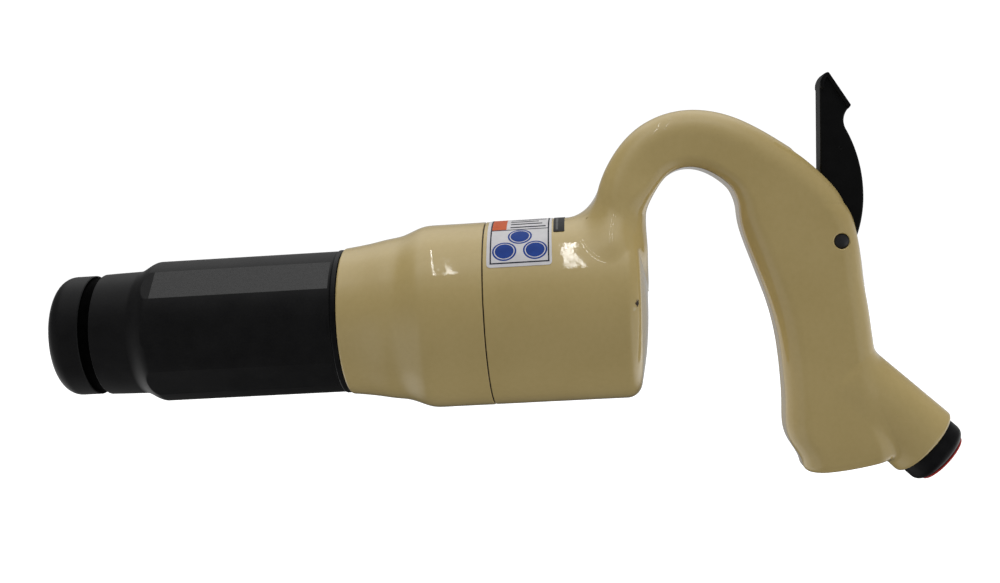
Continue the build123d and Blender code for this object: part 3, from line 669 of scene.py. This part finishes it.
# ---------------------------------------- throttle lever
LEVER_LOW, LEVER_HIGH = span("throttle_lever")
LEVER_HALF = 6.0
THUMB_HALF = LEVER_HIGH[1]
LEVER_BOSS_R = PIN_Z - LEVER_LOW[2]
LEVER_TOP = (325.4, 85.5)
LEVER_TIP = (328.9, LEVER_HIGH[2])
LEVER_CORNER = (337.4, 77.0)
LEVER_NOTCH = (336.9, 76.2)
LEVER_OUTLINE = outline_field(
    [(PIN_X - LEVER_BOSS_R, PIN_Z)]
    + arc_through(LEVER_TOP, (326.4, 89.2), LEVER_TIP)
    + [LEVER_TIP, LEVER_CORNER]
    + arc_through(LEVER_NOTCH, (334.5, 72.2), (334.9, 68.0))
    + arc_through((334.9, 68.0), (339.4, 55.5), (340.9, 42.0), 16)
    + arc_through((340.9, 42.0), (339.8, 31.4), (PIN_X + LEVER_BOSS_R, PIN_Z))
    + arc_through(
        (PIN_X + LEVER_BOSS_R, PIN_Z), (PIN_X, PIN_Z - LEVER_BOSS_R), (PIN_X - LEVER_BOSS_R, PIN_Z), 24
    )
)
LIP_WIDTH = 1.7  # raised lip round the lever's tip and slanted face
LIP_FOOT = (324.5, 86.0)  # a point on the slanted line that the lip stays above
LIP_WAY = (0.652, 0.758)
PUNCH = (332.5, 60.0)  # a punch mark on each side


def lever_field(x, y, z):
    """The lever's web and lip, with its pin hole and punch marks."""
    inward = both(LEVER_OUTLINE(x, z), z - LEVER_HIGH[2] + 0.1, 0.8)
    web = both(inward, np.abs(y) - LEVER_HALF, 0.9)
    above = LIP_WAY[0] * (x - LIP_FOOT[0]) + LIP_WAY[1] * (z - LIP_FOOT[1])
    band = np.maximum(np.maximum(inward, -LIP_WIDTH - inward), -above)
    lip = both(band, np.abs(y) - THUMB_HALF, 0.6)
    solid = either(web, lip, 0.4)
    hole = np.hypot(x - PIN_X, z - PIN_Z) - PIN_R - 0.05
    off = np.hypot(x - PUNCH[0], z - PUNCH[1])
    punch = np.hypot(off, np.abs(y) - LEVER_HALF - 0.25) - 0.65
    return less(less(solid, hole, 0.3), punch, 0.15)


def throttle_lever():
    step = 0.42
    xs = graded(LEVER_LOW[0] - 1, LEVER_HIGH[0] + 1, step)
    ys = graded(0, THUMB_HALF + 1, step, [(5.6, 7.3, step * 0.7)])
    zs = graded(LEVER_LOW[2] - 1, LEVER_HIGH[2] + 1, step)
    grids = (xs, mirrored(ys), zs)
    return solid_mesh("lever", lever_field, grids, "lever", ["throttle_lever"], limit=0.2)


# ---------------------------------------- exhaust deflector
DEFLECTOR_LOW, DEFLECTOR_HIGH = span("exhaust_deflector")
DEFLECTOR_R = DEFLECTOR_HIGH[1] - SKIN
DEFLECTOR_FRONT_EDGE = 0.9
DEFLECTOR_REAR_EDGE = 0.25  # the rear face stands as far back, which narrows the seam
FRONT_LAND_R = 30.08
CONE_X = (134, 160)  # where the bore widens
SLOT_X, SLOT_LENGTH, SLOT_WIDTH = 168.0, 18.0, 4.4
SLOT_TURNS = [radians(-58 + 13 * n) for n in range(5)]
DEFLECTOR_OUTER = (
    (DEFLECTOR_LOW[0], 31.0),
    (136.0, 32.5),
    (144.0, 33.95),
    (150.0, 35.0),
    (155.0, 36.9),
    (159.0, 38.2),
    (163.0, DEFLECTOR_R),
    (167.0, DEFLECTOR_R),
    (DEFLECTOR_HIGH[0], DEFLECTOR_R),
)
deflector_outer = cubic([row[0] for row in DEFLECTOR_OUTER], [row[1] for row in DEFLECTOR_OUTER])


def deflector_field(x, y, z):
    """The sleeve, with its stepped bore and exhaust slots."""
    away = np.hypot(y, z)
    slope = deflector_outer(x + 0.5) - deflector_outer(x - 0.5)
    skin = (away - deflector_outer(x)) / np.sqrt(1 + slope ** 2) + swell(x, y, z, *CAST_WAVE)
    ends = np.maximum(DEFLECTOR_LOW[0] - x, x - DEFLECTOR_HIGH[0] - DEFLECTOR_REAR_EDGE)
    outside = both(skin, ends, np.where(x < CONE_X[1], DEFLECTOR_FRONT_EDGE, DEFLECTOR_REAR_EDGE))
    land = FRONT_LAND_R - away
    cone = (30.3 + (x - CONE_X[0]) * 0.177 - away) * 0.985
    back = SPIGOT_R + 0.08 - away
    inside = np.where(x < CONE_X[0], land, np.where(x < CONE_X[1], cone, back))
    solid = both(outside, inside, 0.25)
    turn = np.arctan2(z, y)
    past = np.maximum(np.abs(x - SLOT_X) - (SLOT_LENGTH - SLOT_WIDTH) / 2, 0)
    for middle in SLOT_TURNS:
        off = away * np.sin(turn - middle)
        slot = np.where(np.cos(turn - middle) > 0, np.hypot(off, past) - SLOT_WIDTH / 2, 9)
        solid = less(solid, slot, 0.6)
    return solid


def exhaust_deflector():
    step = 0.62
    fine = [(124.4, 126, 0.3), (184.4, 185.4, 0.25)]
    xs = graded(DEFLECTOR_LOW[0] - 1, DEFLECTOR_HIGH[0] + 1, step, fine)
    ys = mirrored(graded(0, DEFLECTOR_R + 2, step))
    return solid_mesh(
        "deflector_shell", deflector_field, (xs, ys, ys), "deflector",
        ["exhaust_deflector"], limit=0.3,
    )


# ---------------------------------------- turned pieces
def tube_faces(spans, rings, across):
    """Quads along a tube of rings with across points each, over its first spans."""
    n, a = np.mgrid[:spans, :across]
    m, b = (n + 1) % rings, (a + 1) % across
    corners = [n * across + a, m * across + a, m * across + b, n * across + b]
    return np.stack(corners, -1).reshape(-1, 4)


def lathe(
    name, profile, turns, body, replaced, centre=(0, 0, 0), way=(1, 0, 0), rule=None, crease=32
):
    """A turned piece: profile of (place along the axis, radius) points, closed round the bore.

    rule(place, radius, turn) may change the radius where flats or threads are cut.
    """
    way = np.array(way, float)
    side = np.array([0.0, 1.0, 0.0]) if abs(way[1]) < 0.5 else np.array([1.0, 0.0, 0.0])
    up = np.cross(way, side)
    rows = []
    for place, radius in profile:
        place_now, radius_now = (place, radius) if rule is None else rule(place, radius, turns)
        radius_now = np.broadcast_to(radius_now, turns.shape)
        place_now = np.broadcast_to(place_now, turns.shape)
        ring = np.outer(place_now, way) + np.outer(radius_now * np.cos(turns), side)
        rows.append(ring + np.outer(radius_now * np.sin(turns), up) + np.array(centre))
    faces = tube_faces(len(rows), len(rows), len(turns))
    piece = mesh_object(name, np.concatenate(rows), faces, body, replaced)
    weld(piece)
    piece.data.set_sharp_from_angle(angle=radians(crease))
    return piece


def weld(piece):
    """Merge coincident points and make the faces look outwards."""
    work = bmesh.new()
    work.from_mesh(piece.data)
    bmesh.ops.remove_doubles(work, verts=work.verts, dist=1e-7)
    bmesh.ops.dissolve_degenerate(work, edges=work.edges, dist=1e-8)
    bmesh.ops.recalc_face_normals(work, faces=work.faces)
    work.to_mesh(piece.data)
    work.free()
    piece.data.update()


def run(a, b, steps):
    """Points from a towards b, without b."""
    return [(a[0] + (b[0] - a[0]) * n / steps, a[1] + (b[1] - a[1]) * n / steps) for n in range(steps)]


def rounded(corner, before, after, radius, steps=5):
    """Points of an arc that rounds a corner of a profile."""
    c, a, b = (np.array(v, float) for v in (corner, before, after))
    u, v = (a - c) / np.linalg.norm(a - c), (b - c) / np.linalg.norm(b - c)
    half = np.arccos(np.clip(u @ v, -1, 1)) / 2
    reach = radius / tan(half)
    middle = c + (u + v) / np.linalg.norm(u + v) * radius / sin(half)
    start, end = c + u * reach, c + v * reach
    t0, t1 = (atan2(*(p - middle)[::-1]) for p in (start, end))
    sweep = (t1 - t0 + pi) % (2 * pi) - pi
    turns = [t0 + sweep * n / steps for n in range(steps + 1)]
    return [tuple(middle + radius * np.array([cos(t), sin(t)])) for t in turns]


BARREL_R = 30.0
BORE_R = 14.3
BUSHING_END_X = 46
NOSE_R = 25.6
NOSE_CORNER_R = 6.4
GROOVE = (14.6, 19.4, 24.4)  # start, end and radius of the retainer's groove
SHOULDER = (35.0, 44.5)
LAND = (25.9, 26.3)  # radius at the land's two ends
FLATS = [(a, 0.93) for a in (45, 135, 225, 315)] + [(a, 0.45) for a in (0, 180)]
FLATS_X = (30.0, 121.0)
RING_LOW, RING_HIGH = span("deflector_retaining_ring")
BARREL_LOW, BARREL_HIGH = span("barrel")


def barrel_flats(place, radius, turns):
    """Radius of the barrel where its flats are milled."""
    if radius < LAND[1] or not FLATS_X[0] < place < FLATS_X[1]:
        return place, radius
    out = np.full(turns.shape, radius)
    for angle, depth in FLATS:
        facing = np.cos(turns - radians(angle))
        out = np.where(facing > 0.5, np.minimum(out, (BARREL_R - depth) / np.maximum(facing, 0.5)), out)
    return place, out


def barrel():
    marks = set(np.linspace(0, 360, 241)[:-1].round(4))
    for angle, depth in FLATS:
        half = degrees(np.arccos((BARREL_R - depth) / BARREL_R))
        for edge in (angle - half, angle + half):
            marks |= {round((edge + off) % 360, 4) for off in (-0.35, 0, 0.35)}
    turns = np.radians(sorted(marks))
    seat_r = span("shank_bushing")[1][1]
    start = [
        *rounded((0, NOSE_R), (0, seat_r), (9, NOSE_R), NOSE_CORNER_R, 14),
        *run((7.2, NOSE_R), (GROOVE[0] - 0.4, NOSE_R), 3),
        (GROOVE[0] - 0.4, NOSE_R),
        (GROOVE[0], NOSE_R - 0.3),
        (GROOVE[0], GROOVE[2] + 0.5),
        (GROOVE[0] + 0.15, GROOVE[2] + 0.15),
        (GROOVE[0] + 0.5, GROOVE[2]),
        (GROOVE[1] - 0.5, GROOVE[2]),
        (GROOVE[1] - 0.15, GROOVE[2] + 0.15),
        (GROOVE[1], GROOVE[2] + 0.5),
        (GROOVE[1], LAND[0] - 0.15),
        (GROOVE[1] + 0.2, LAND[0]),
        *run((24, LAND[0] + 0.15), (SHOULDER[0], LAND[1]), 3),
    ]
    climb = np.linspace(*SHOULDER, 45)
    shoulder = [(x, LAND[1] + smooth_step(x, *SHOULDER) * (BARREL_R - LAND[1])) for x in climb]
    body = [
        *run((46, BARREL_R), (FLATS_X[1] - 0.05, BARREL_R), 24),
        (FLATS_X[1] - 0.05, BARREL_R),
        (FLATS_X[1], BARREL_R),
        (FLATS_X[1] + 0.6, BARREL_R),
        (RING_LOW[0] - 0.1, BARREL_R - 0.2),
        (RING_LOW[0] - 0.1, BARREL_R - 1.2),
        (RING_HIGH[0] + 0.1, BARREL_R - 1.2),
        (RING_HIGH[0] + 0.1, BARREL_R),
        (183, BARREL_R),
        (184.5, BARREL_HIGH[1]),
        (BARREL_HIGH[0] - 1, BARREL_HIGH[1]),
        (BARREL_HIGH[0], BARREL_HIGH[1] - 1),
        (BARREL_HIGH[0], BORE_R + 0.4),
        (BARREL_HIGH[0] - 0.4, BORE_R),
        (BUSHING_END_X, BORE_R),
        (BUSHING_END_X, seat_r),
        (0.5, seat_r),
        (0, seat_r + 0.5),
    ]
    return lathe(
        "barrel_body", start + shoulder + body, turns, "hammer", ["barrel"],
        rule=barrel_flats, crease=25,
    )


def mark_barrel(piece):
    """Give the barrel's two upper flats a lighter finish as painted light, and its groove a near-black,
    glossless finish as painted shade.
    """
    middles = np.empty(3 * len(piece.data.polygons))
    piece.data.polygons.foreach_get("center", middles)
    x, y, z = middles.reshape(-1, 3).T / MM
    milled = np.zeros(len(x), bool)
    # Painted light: the lighter milled finish goes only on the two upper flats, which face the ceiling.
    for angle, depth in FLATS[:2]:
        out = y * cos(radians(angle)) + z * sin(radians(angle))
        milled |= np.abs(out - BARREL_R + depth) < 0.015
    away = np.hypot(y, z)
    milled &= (x > SHOULDER[1] + 1.5) & (x < FLATS_X[1]) & (away > LAND[1] + 1)
    # Painted shade: the groove's faces get the near-black, glossless finish.
    groove = (x > GROOVE[0] - 0.1) & (x < GROOVE[1] + 0.02) & (np.abs(away - GROOVE[2] - 0.5) < 0.65)
    piece.data.polygons.foreach_set("material_index", np.where(groove, 2, milled).astype(np.int32))


def around(count):
    return np.arange(count) * 2 * pi / count


INLET_FACE = 7.3  # front of the inlet ring, along the inlet's axis


def inlet_bushing():
    """Black threaded ring in the inlet, with a rounded flange and a pipe thread inside."""
    flange_r, bore_r, thread_r = 13.9, 10.5, 8.2
    face = INLET_FACE
    pitch, depth = 1.41, 0.7
    outer = [
        *rounded((face, flange_r), (face, thread_r), (0, flange_r), 3.4, 12),
        (1.2, flange_r),
        (BOSS_MOUTH + 0.35, flange_r - 0.1),
        (BOSS_MOUTH, flange_r - 0.45),
        (BOSS_MOUTH, bore_r + 0.3),
        (BOSS_MOUTH - 0.3, bore_r),
        (-21, bore_r),
        (-21, thread_r + 0.6),
        (-20.4, thread_r),
    ]
    inner = [(place, thread_r) for place in np.arange(-20.2, face - 1.0, pitch / 8)]
    lip = [(face - 0.8, thread_r), (face, thread_r + 0.8), (face, thread_r + 1.4)]

    def thread(place, radius, turns):
        if radius != thread_r or not -20.3 < place < face - 0.9:
            return place, radius
        phase = (place / pitch + turns / (2 * pi)) % 1
        fade = min(1, (place + 20.3) / 1.5, (face - 0.9 - place) / 1.2)
        return place, thread_r + depth * fade * (1 - np.abs(2 * phase - 1))

    return lathe(
        "inlet_ring", outer + inner + lip, around(96), "hammer", ["inlet_bushing"],
        centre=INLET, way=INLET_WAY, rule=thread,
    )


def lever_pin():
    """Pin through the casting, with slightly domed ends."""
    half = PIN_HIGH[1]
    bulge = 0.45
    dome = [(half - bulge * (r / (PIN_R - 0.5)) ** 2, r) for r in np.linspace(0.01, PIN_R - 0.5, 7)]
    edge = [(half - bulge - 0.12, PIN_R - 0.2), (half - bulge - 0.45, PIN_R)]
    end = dome + edge
    profile = end + [(-x, r) for x, r in reversed(end)]
    return lathe(
        "pin", profile, around(48), "hammer", ["lever_pin"],
        centre=(PIN_X, 0, PIN_Z), way=(0, 1, 0),
    )


def dust_plug_field(x, y, z):
    """The plug's flange and hollow stem, with a ribbed dish in its face."""
    along, up, away = inlet_place(x, y, z)
    flange = both(away - 11.4, np.maximum(along - INLET_FACE - 0.95, INLET_FACE + 0.1 - along), 0.3)
    stem = both(away - 7.9, np.maximum(along - INLET_FACE - 0.6, -7 - along), 0.5)
    solid = np.minimum(flange, stem)
    cup = both(away - 6.5, along - INLET_FACE + 0.6, 0.4)
    solid = less(solid, cup, 0.4)
    dish = both(np.maximum(away - 7.4, 3.2 - away), INLET_FACE + 0.45 - along, 0.25)
    rib = np.minimum(np.abs(y), np.abs(up)) - 0.9
    return less(solid, less(dish, rib, 0.2), 0.25)


def dust_plug():
    low, high = span("dust_plug")
    step = 0.42
    grids = [graded(low[n] - 1, high[n] + 1, step) for n in range(3)]
    return solid_mesh("plug", dust_plug_field, grids, "plug", ["dust_plug"], limit=0.2)


def throttle_spring():
    """Four turns of wire in the chamber."""
    low, high = span("throttle_spring")
    wire, coil = 0.4, 3.4
    steps, sides = 192, 10
    t, a = np.meshgrid(np.linspace(0, 8 * pi, steps + 1), around(sides), indexing="ij")
    along = low[0] + wire + (high[0] - low[0] - 2 * wire) * t / (8 * pi)
    radius = coil + wire * np.cos(a)
    spots = [along + wire * np.sin(a), radius * np.cos(t), THROTTLE_Z + radius * np.sin(t)]
    points = np.stack(spots, -1).reshape(-1, 3)
    caps = [np.arange(sides)[::-1], steps * sides + np.arange(sides)]
    faces = [*tube_faces(steps, steps + 1, sides)[:, ::-1], *caps]
    piece = mesh_object("spring", points, faces, "hammer", ["throttle_spring"])
    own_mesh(piece)
    return piece


# ---------------------------------------- labels
def on_housing(along, across, middle_turn, lift):
    """A point on the housing: along its axis, and across a label from its middle line."""
    turn = radians(middle_turn) + across / HOUSING_R
    radius = HOUSING_R + lift
    return along, -radius * cos(turn), radius * sin(turn)


def patch(shape, middle_turn, low, high, colour, parts):
    """Add a thin closed sheet with a flat outline, wrapped on the housing, to parts.

    shape is a closed outline of (along, across) points, which a fan of rings fills from its middle.
    """
    outline = np.array(shape, float)
    centre = outline.mean(0)
    rings, count = 8, len(outline)
    spots = [centre]
    for ring in range(1, rings + 1):
        spots += [*(centre + (outline - centre) * ring / rings)]
    base, layer = len(parts["points"]), len(spots)
    for lift in (high, low):
        parts["points"] += [on_housing(*spot, middle_turn, lift) for spot in spots]
    faces = parts["faces"]
    rim = 1 + (rings - 1) * count
    for k in range(count):
        j = (k + 1) % count
        for start, sense in ((base, -1), (base + layer, 1)):
            faces.append([start, start + 1 + k, start + 1 + j][::sense])
            for a in range(start + 1, start + rim, count):
                faces.append([a + k, a + count + k, a + count + j, a + j][::sense])
        top, bottom = base + rim, base + layer + rim
        faces.append([top + k, bottom + k, bottom + j, top + j])
    parts["colours"] += [colour] * (len(faces) - len(parts["colours"]))


def rounded_box(x0, x1, y0, y1, r, steps=5):
    """Outline of a rectangle with rounded corners, its long sides divided."""
    corners = ((x1, y1, 0), (x0, y1, 90), (x0, y0, 180), (x1, y0, 270))
    points = []
    for x, y, start in corners:
        cx = x - r if x == x1 else x + r
        cy = y - r if y == y1 else y + r
        for n in range(steps + 1):
            turn = radians(start + 90 * n / steps)
            points.append((cx + r * cos(turn), cy + r * sin(turn)))
    filled = []
    for n, point in enumerate(points):
        after = points[(n + 1) % len(points)]
        gap = hypot(after[0] - point[0], after[1] - point[1])
        filled += run(point, after, max(1, int(gap / 1.2)))
    return filled


def disc(x, y, r, count=40):
    return [(x + r * cos(t), y + r * sin(t)) for t in around(count)]


def label(name, parts, node, paints):
    piece = mesh_object(name, parts["points"], parts["faces"], "hammer", [node])
    give(piece, *paints)
    piece.data.polygons.foreach_set("material_index", parts["colours"])
    piece.data.set_sharp_from_angle(angle=radians(40))
    return piece


LABEL_TOP_TURN = 94  # angle of both labels' upper edge, above the near side


def wrapped(first):
    """Middle angle, and half the width, of a label from the angle first to the upper edge."""
    middle = (first + LABEL_TOP_TURN) / 2
    return middle, radians(LABEL_TOP_TURN - first) / 2 * HOUSING_R


def safety_label():
    """White film with a thin frame, an orange block, plain bars and three plain blue discs."""
    low, high = span("safety_label")
    x0, x1 = low[0], high[0]
    middle, half = wrapped(31)
    film, ink = 0.2, 0.05
    parts = {"points": [], "faces": [], "colours": []}
    patch(rounded_box(x0, x1, -half, half, 1.6), middle, 0.0, film, 0, parts)
    inset, line = 1.5, 0.55
    fx0, fx1, fy0, fy1 = x0 + 1.3, x1 - 1.0, -half + inset, half - inset
    divide = fy0 + 19.8
    for box in (
        (fx0, fx1, fy0, fy0 + line),
        (fx0, fx1, fy1 - line, fy1),
        (fx0, fx0 + line, fy0, fy1),
        (fx1 - line, fx1, fy0, fy1),
        (fx0, fx1, divide, divide + line),
    ):
        patch(rounded_box(*box, 0.06, 1), middle, film, film + ink, 1, parts)
    block = rounded_box(fx0 + 0.6, fx0 + 6.4, divide + 0.7, fy1 - 0.7, 0.2)
    patch(block, middle, film, film + ink, 2, parts)
    for k in range(4):
        y = divide + 2.0 + 3.4 * k
        bar = rounded_box(fx0 + 8.0, fx1 - 1.4 - 1.5 * (k % 3), y, y + 1.0, 0.3)
        patch(bar, middle, film, film + ink, 1, parts)
    disc_r = 4.9
    for dx, dy in ((0.505, 14.8), (0.245, 6.2), (0.765, 6.3)):
        x, y = fx0 + dx * (fx1 - fx0), fy0 + dy
        patch(disc(x, y, disc_r), middle, film, film + ink * 0.6, 3, parts)
        patch(disc(x, y, disc_r - 0.7), middle, film + ink * 0.6, film + ink * 0.8, 0, parts)
        patch(disc(x, y, disc_r - 1.1), middle, film + ink * 0.8, film + ink, 3, parts)
    paints = [
        moulded("label_white", (0.76, 0.75, 0.77), (0.82, 0.81, 0.83), 0.35, ior=1.2),
        moulded("label_ink", (0.008, 0.009, 0.025), (0.014, 0.016, 0.04), 0.4, ior=1.2),
        moulded("label_orange", (0.64, 0.10, 0.02), (0.72, 0.13, 0.03), 0.38, ior=1.2),
        moulded("label_blue", (0.008, 0.05, 0.30), (0.014, 0.065, 0.36), 0.38, ior=1.2),
    ]
    return label("safety_label_film", parts, "safety_label", paints)


def rating_label():
    """Small black film beside the safety label."""
    low, high = span("rating_label")
    middle, half = wrapped(58)
    parts = {"points": [], "faces": [], "colours": []}
    patch(rounded_box(low[0], high[0], -half, half, 0.5), middle, 0.0, 0.2, 0, parts)
    bar = rounded_box(low[0] + 1.0, low[0] + 1.9, -half + 1.5, half - 1.5, 0.2)
    patch(bar, middle, 0.2, 0.24, 1, parts)
    paints = [
        moulded("rating_black", (0.006, 0.006, 0.008), (0.012, 0.012, 0.014), 0.35, ior=1.2),
        moulded("rating_grey", (0.10, 0.10, 0.10), (0.14, 0.14, 0.14), 0.4, ior=1.2),
    ]
    return label("rating_label_film", parts, "rating_label", paints)


# ---------------------------------------- assembly
give(handle_casting(), ENAMEL)
give(throttle_lever(), BLACK_LEVER)
give(exhaust_deflector(), ENAMEL)
turned_body = barrel()
give(turned_body, BLACK_OXIDE, LIT_FLATS_MILLED, GROOVE_PAINTED_SHADE)
mark_barrel(turned_body)
give(inlet_bushing(), BLACK_STEEL)
give(lever_pin(), PIN_STEEL)
give(dust_plug(), RED_PLASTIC)
give(throttle_spring(), SPRING_STEEL)
safety_label()
rating_label()
for finish, nodes in CAD_FINISHES:
    for node in nodes:
        give(frame["nodes"][node], finish)


# ---------------------------------------- studio
# Brightness of the room by the angle up from the near side: 90 is overhead, 180 behind the object.
ROOM = (
    (-180, 0.50), (-168, 0.36), (-158, 0.05), (-134, 0.08), (-116, 0.12), (-90, 0.18), (-60, 0.20),
    (-35, 0.24), (-17, 0.24), (0, 0.20), (17, 0.20), (35, 0.33), (53, 0.84), (67, 1.53), (116, 1.53),
    (134, 1.0), (152, 0.38), (168, 0.38), (180, 0.50),
)
# Brightness of the room's two sides: low in front, low behind, and high.
SIDE_FRONT, SIDE_BACK, SIDE_HIGH = 1.10, 1.70, 0.23
SIDE_NOSE = 0.70  # share of that on the nose's side


def floor():
    """Pale lit table well below the object."""
    mesh = bpy.data.meshes.new("floor")
    half, level = 4.0, -0.20
    corners = [(-half, -half, level), (half, -half, level), (half, half, level), (-half, half, level)]
    mesh.from_pydata(corners, [], [(0, 1, 2, 3)])
    plane = bpy.data.objects.new("floor", mesh)
    bpy.context.scene.collection.objects.link(plane)
    plane.visible_diffuse = False
    plane.visible_glossy = False
    material = bpy.data.materials.new("floor_paper")
    material.use_nodes = True
    shader = material.node_tree.nodes["Principled BSDF"]
    shader.inputs["Base Color"].default_value = (0.93, 0.93, 0.93, 1)
    shader.inputs["Roughness"].default_value = 0.8
    shader.inputs["Emission Color"].default_value = (1, 1, 1, 1)
    shader.inputs["Emission Strength"].default_value = 0.62
    mesh.materials.append(material)


def soft_light(name, place, aim, size, power):
    """A rectangular softbox at place, turned towards aim."""
    lamp = bpy.data.lights.new(name, "AREA")
    lamp.shape = "RECTANGLE"
    lamp.size, lamp.size_y = size
    lamp.energy = power
    holder = bpy.data.objects.new(name, lamp)
    holder.location = place
    holder.rotation_euler = (Vector(aim) - Vector(place)).to_track_quat("-Z", "Y").to_euler()
    bpy.context.scene.collection.objects.link(holder)


def world():
    """A room with a bright ceiling, a dim front and a soft strip behind; the camera sees white."""
    studio = bpy.data.worlds.new("studio")
    studio.use_nodes = True
    tree = studio.node_tree
    tree.nodes.clear()
    node = partial(add_node, tree)

    def maths(operation, *values):
        return node("ShaderNodeMath", dict(enumerate(values)), operation=operation).outputs[0]

    def step(value, start, end, low=0.0, high=1.0):
        inputs = {"Value": value, "From Min": start, "From Max": end, "To Min": low, "To Max": high}
        return node("ShaderNodeMapRange", inputs, interpolation_type="SMOOTHSTEP").outputs["Result"]

    way = tree.nodes.new("ShaderNodeTexCoord").outputs["Generated"]
    parts = node("ShaderNodeSeparateXYZ", {0: way}).outputs
    turn = maths("ARCTAN2", parts["Z"], maths("MULTIPLY", parts["Y"], -1.0))
    share = maths("MULTIPLY_ADD", turn, 0.5 / pi, 0.5)
    ramp = node("ShaderNodeValToRGB", {"Fac": share})
    stops = ramp.color_ramp.elements
    for place, level in ROOM[1:-1]:
        stops.new(place / 360 + 0.5)
    for stop, (place, level) in zip(stops, ROOM):
        stop.position = place / 360 + 0.5
        stop.color = (level, level, level, 1)
    low_side = step(parts["Y"], -0.15, 0.15, SIDE_FRONT, SIDE_BACK)
    high = step(parts["Z"], -0.4, 0.4)
    side = maths("MULTIPLY_ADD", high, maths("SUBTRACT", SIDE_HIGH, low_side), low_side)
    side = maths("MULTIPLY", side, step(parts["X"], -0.7, -0.3, SIDE_NOSE, 1.0))
    sideways = step(maths("ABSOLUTE", parts["X"]), 0.3, 0.7)
    sides = {"Factor": sideways, 6: ramp.outputs["Color"], 7: side}
    level = node("ShaderNodeMix", sides, data_type="RGBA").outputs[2]
    room = node("ShaderNodeBackground", {"Color": level, "Strength": 1.0})
    seen = node("ShaderNodeBackground", {"Color": (1, 1, 1, 1), "Strength": 1.05})
    path = tree.nodes.new("ShaderNodeLightPath").outputs["Is Camera Ray"]
    mix = node("ShaderNodeMixShader", {0: path, 1: room.outputs[0], 2: seen.outputs[0]})
    node("ShaderNodeOutputWorld", {"Surface": mix.outputs[0]})
    bpy.context.scene.world = studio


def camera():
    """The photograph's view: from the near side, a little above, with the barrel end lower."""
    azimuth, elevation, roll = radians(4.73), radians(2.3), radians(-3.43)
    target = Vector((0.18935, 0, 0.00897))
    back = Vector((sin(azimuth) * cos(elevation), -cos(azimuth) * cos(elevation), sin(elevation)))
    right = Vector((cos(azimuth), sin(azimuth), 0))
    up = back.cross(right)
    turned = right * cos(roll) + up * sin(roll)
    lens = bpy.data.cameras.new("camera")
    lens.lens = 46.76
    lens.sensor_width = 36
    lens.clip_start = 0.01
    holder = bpy.data.objects.new("camera", lens)
    frame_up = back.cross(turned)
    turn = Matrix((turned, frame_up, back)).transposed()
    holder.matrix_world = Matrix.Translation(target + back * 0.5495) @ turn.to_4x4()
    bpy.context.scene.collection.objects.link(holder)
    bpy.context.scene.camera = holder


floor()
for name, x in (("tube_left", -0.025), ("tube_right", 0.18)):
    soft_light(name, (x, -0.45, 1.45), (x, -0.2, 0), (0.006, 1.1), 0.45)
world()
camera()
bpy.context.scene.view_settings.view_transform = "Standard"
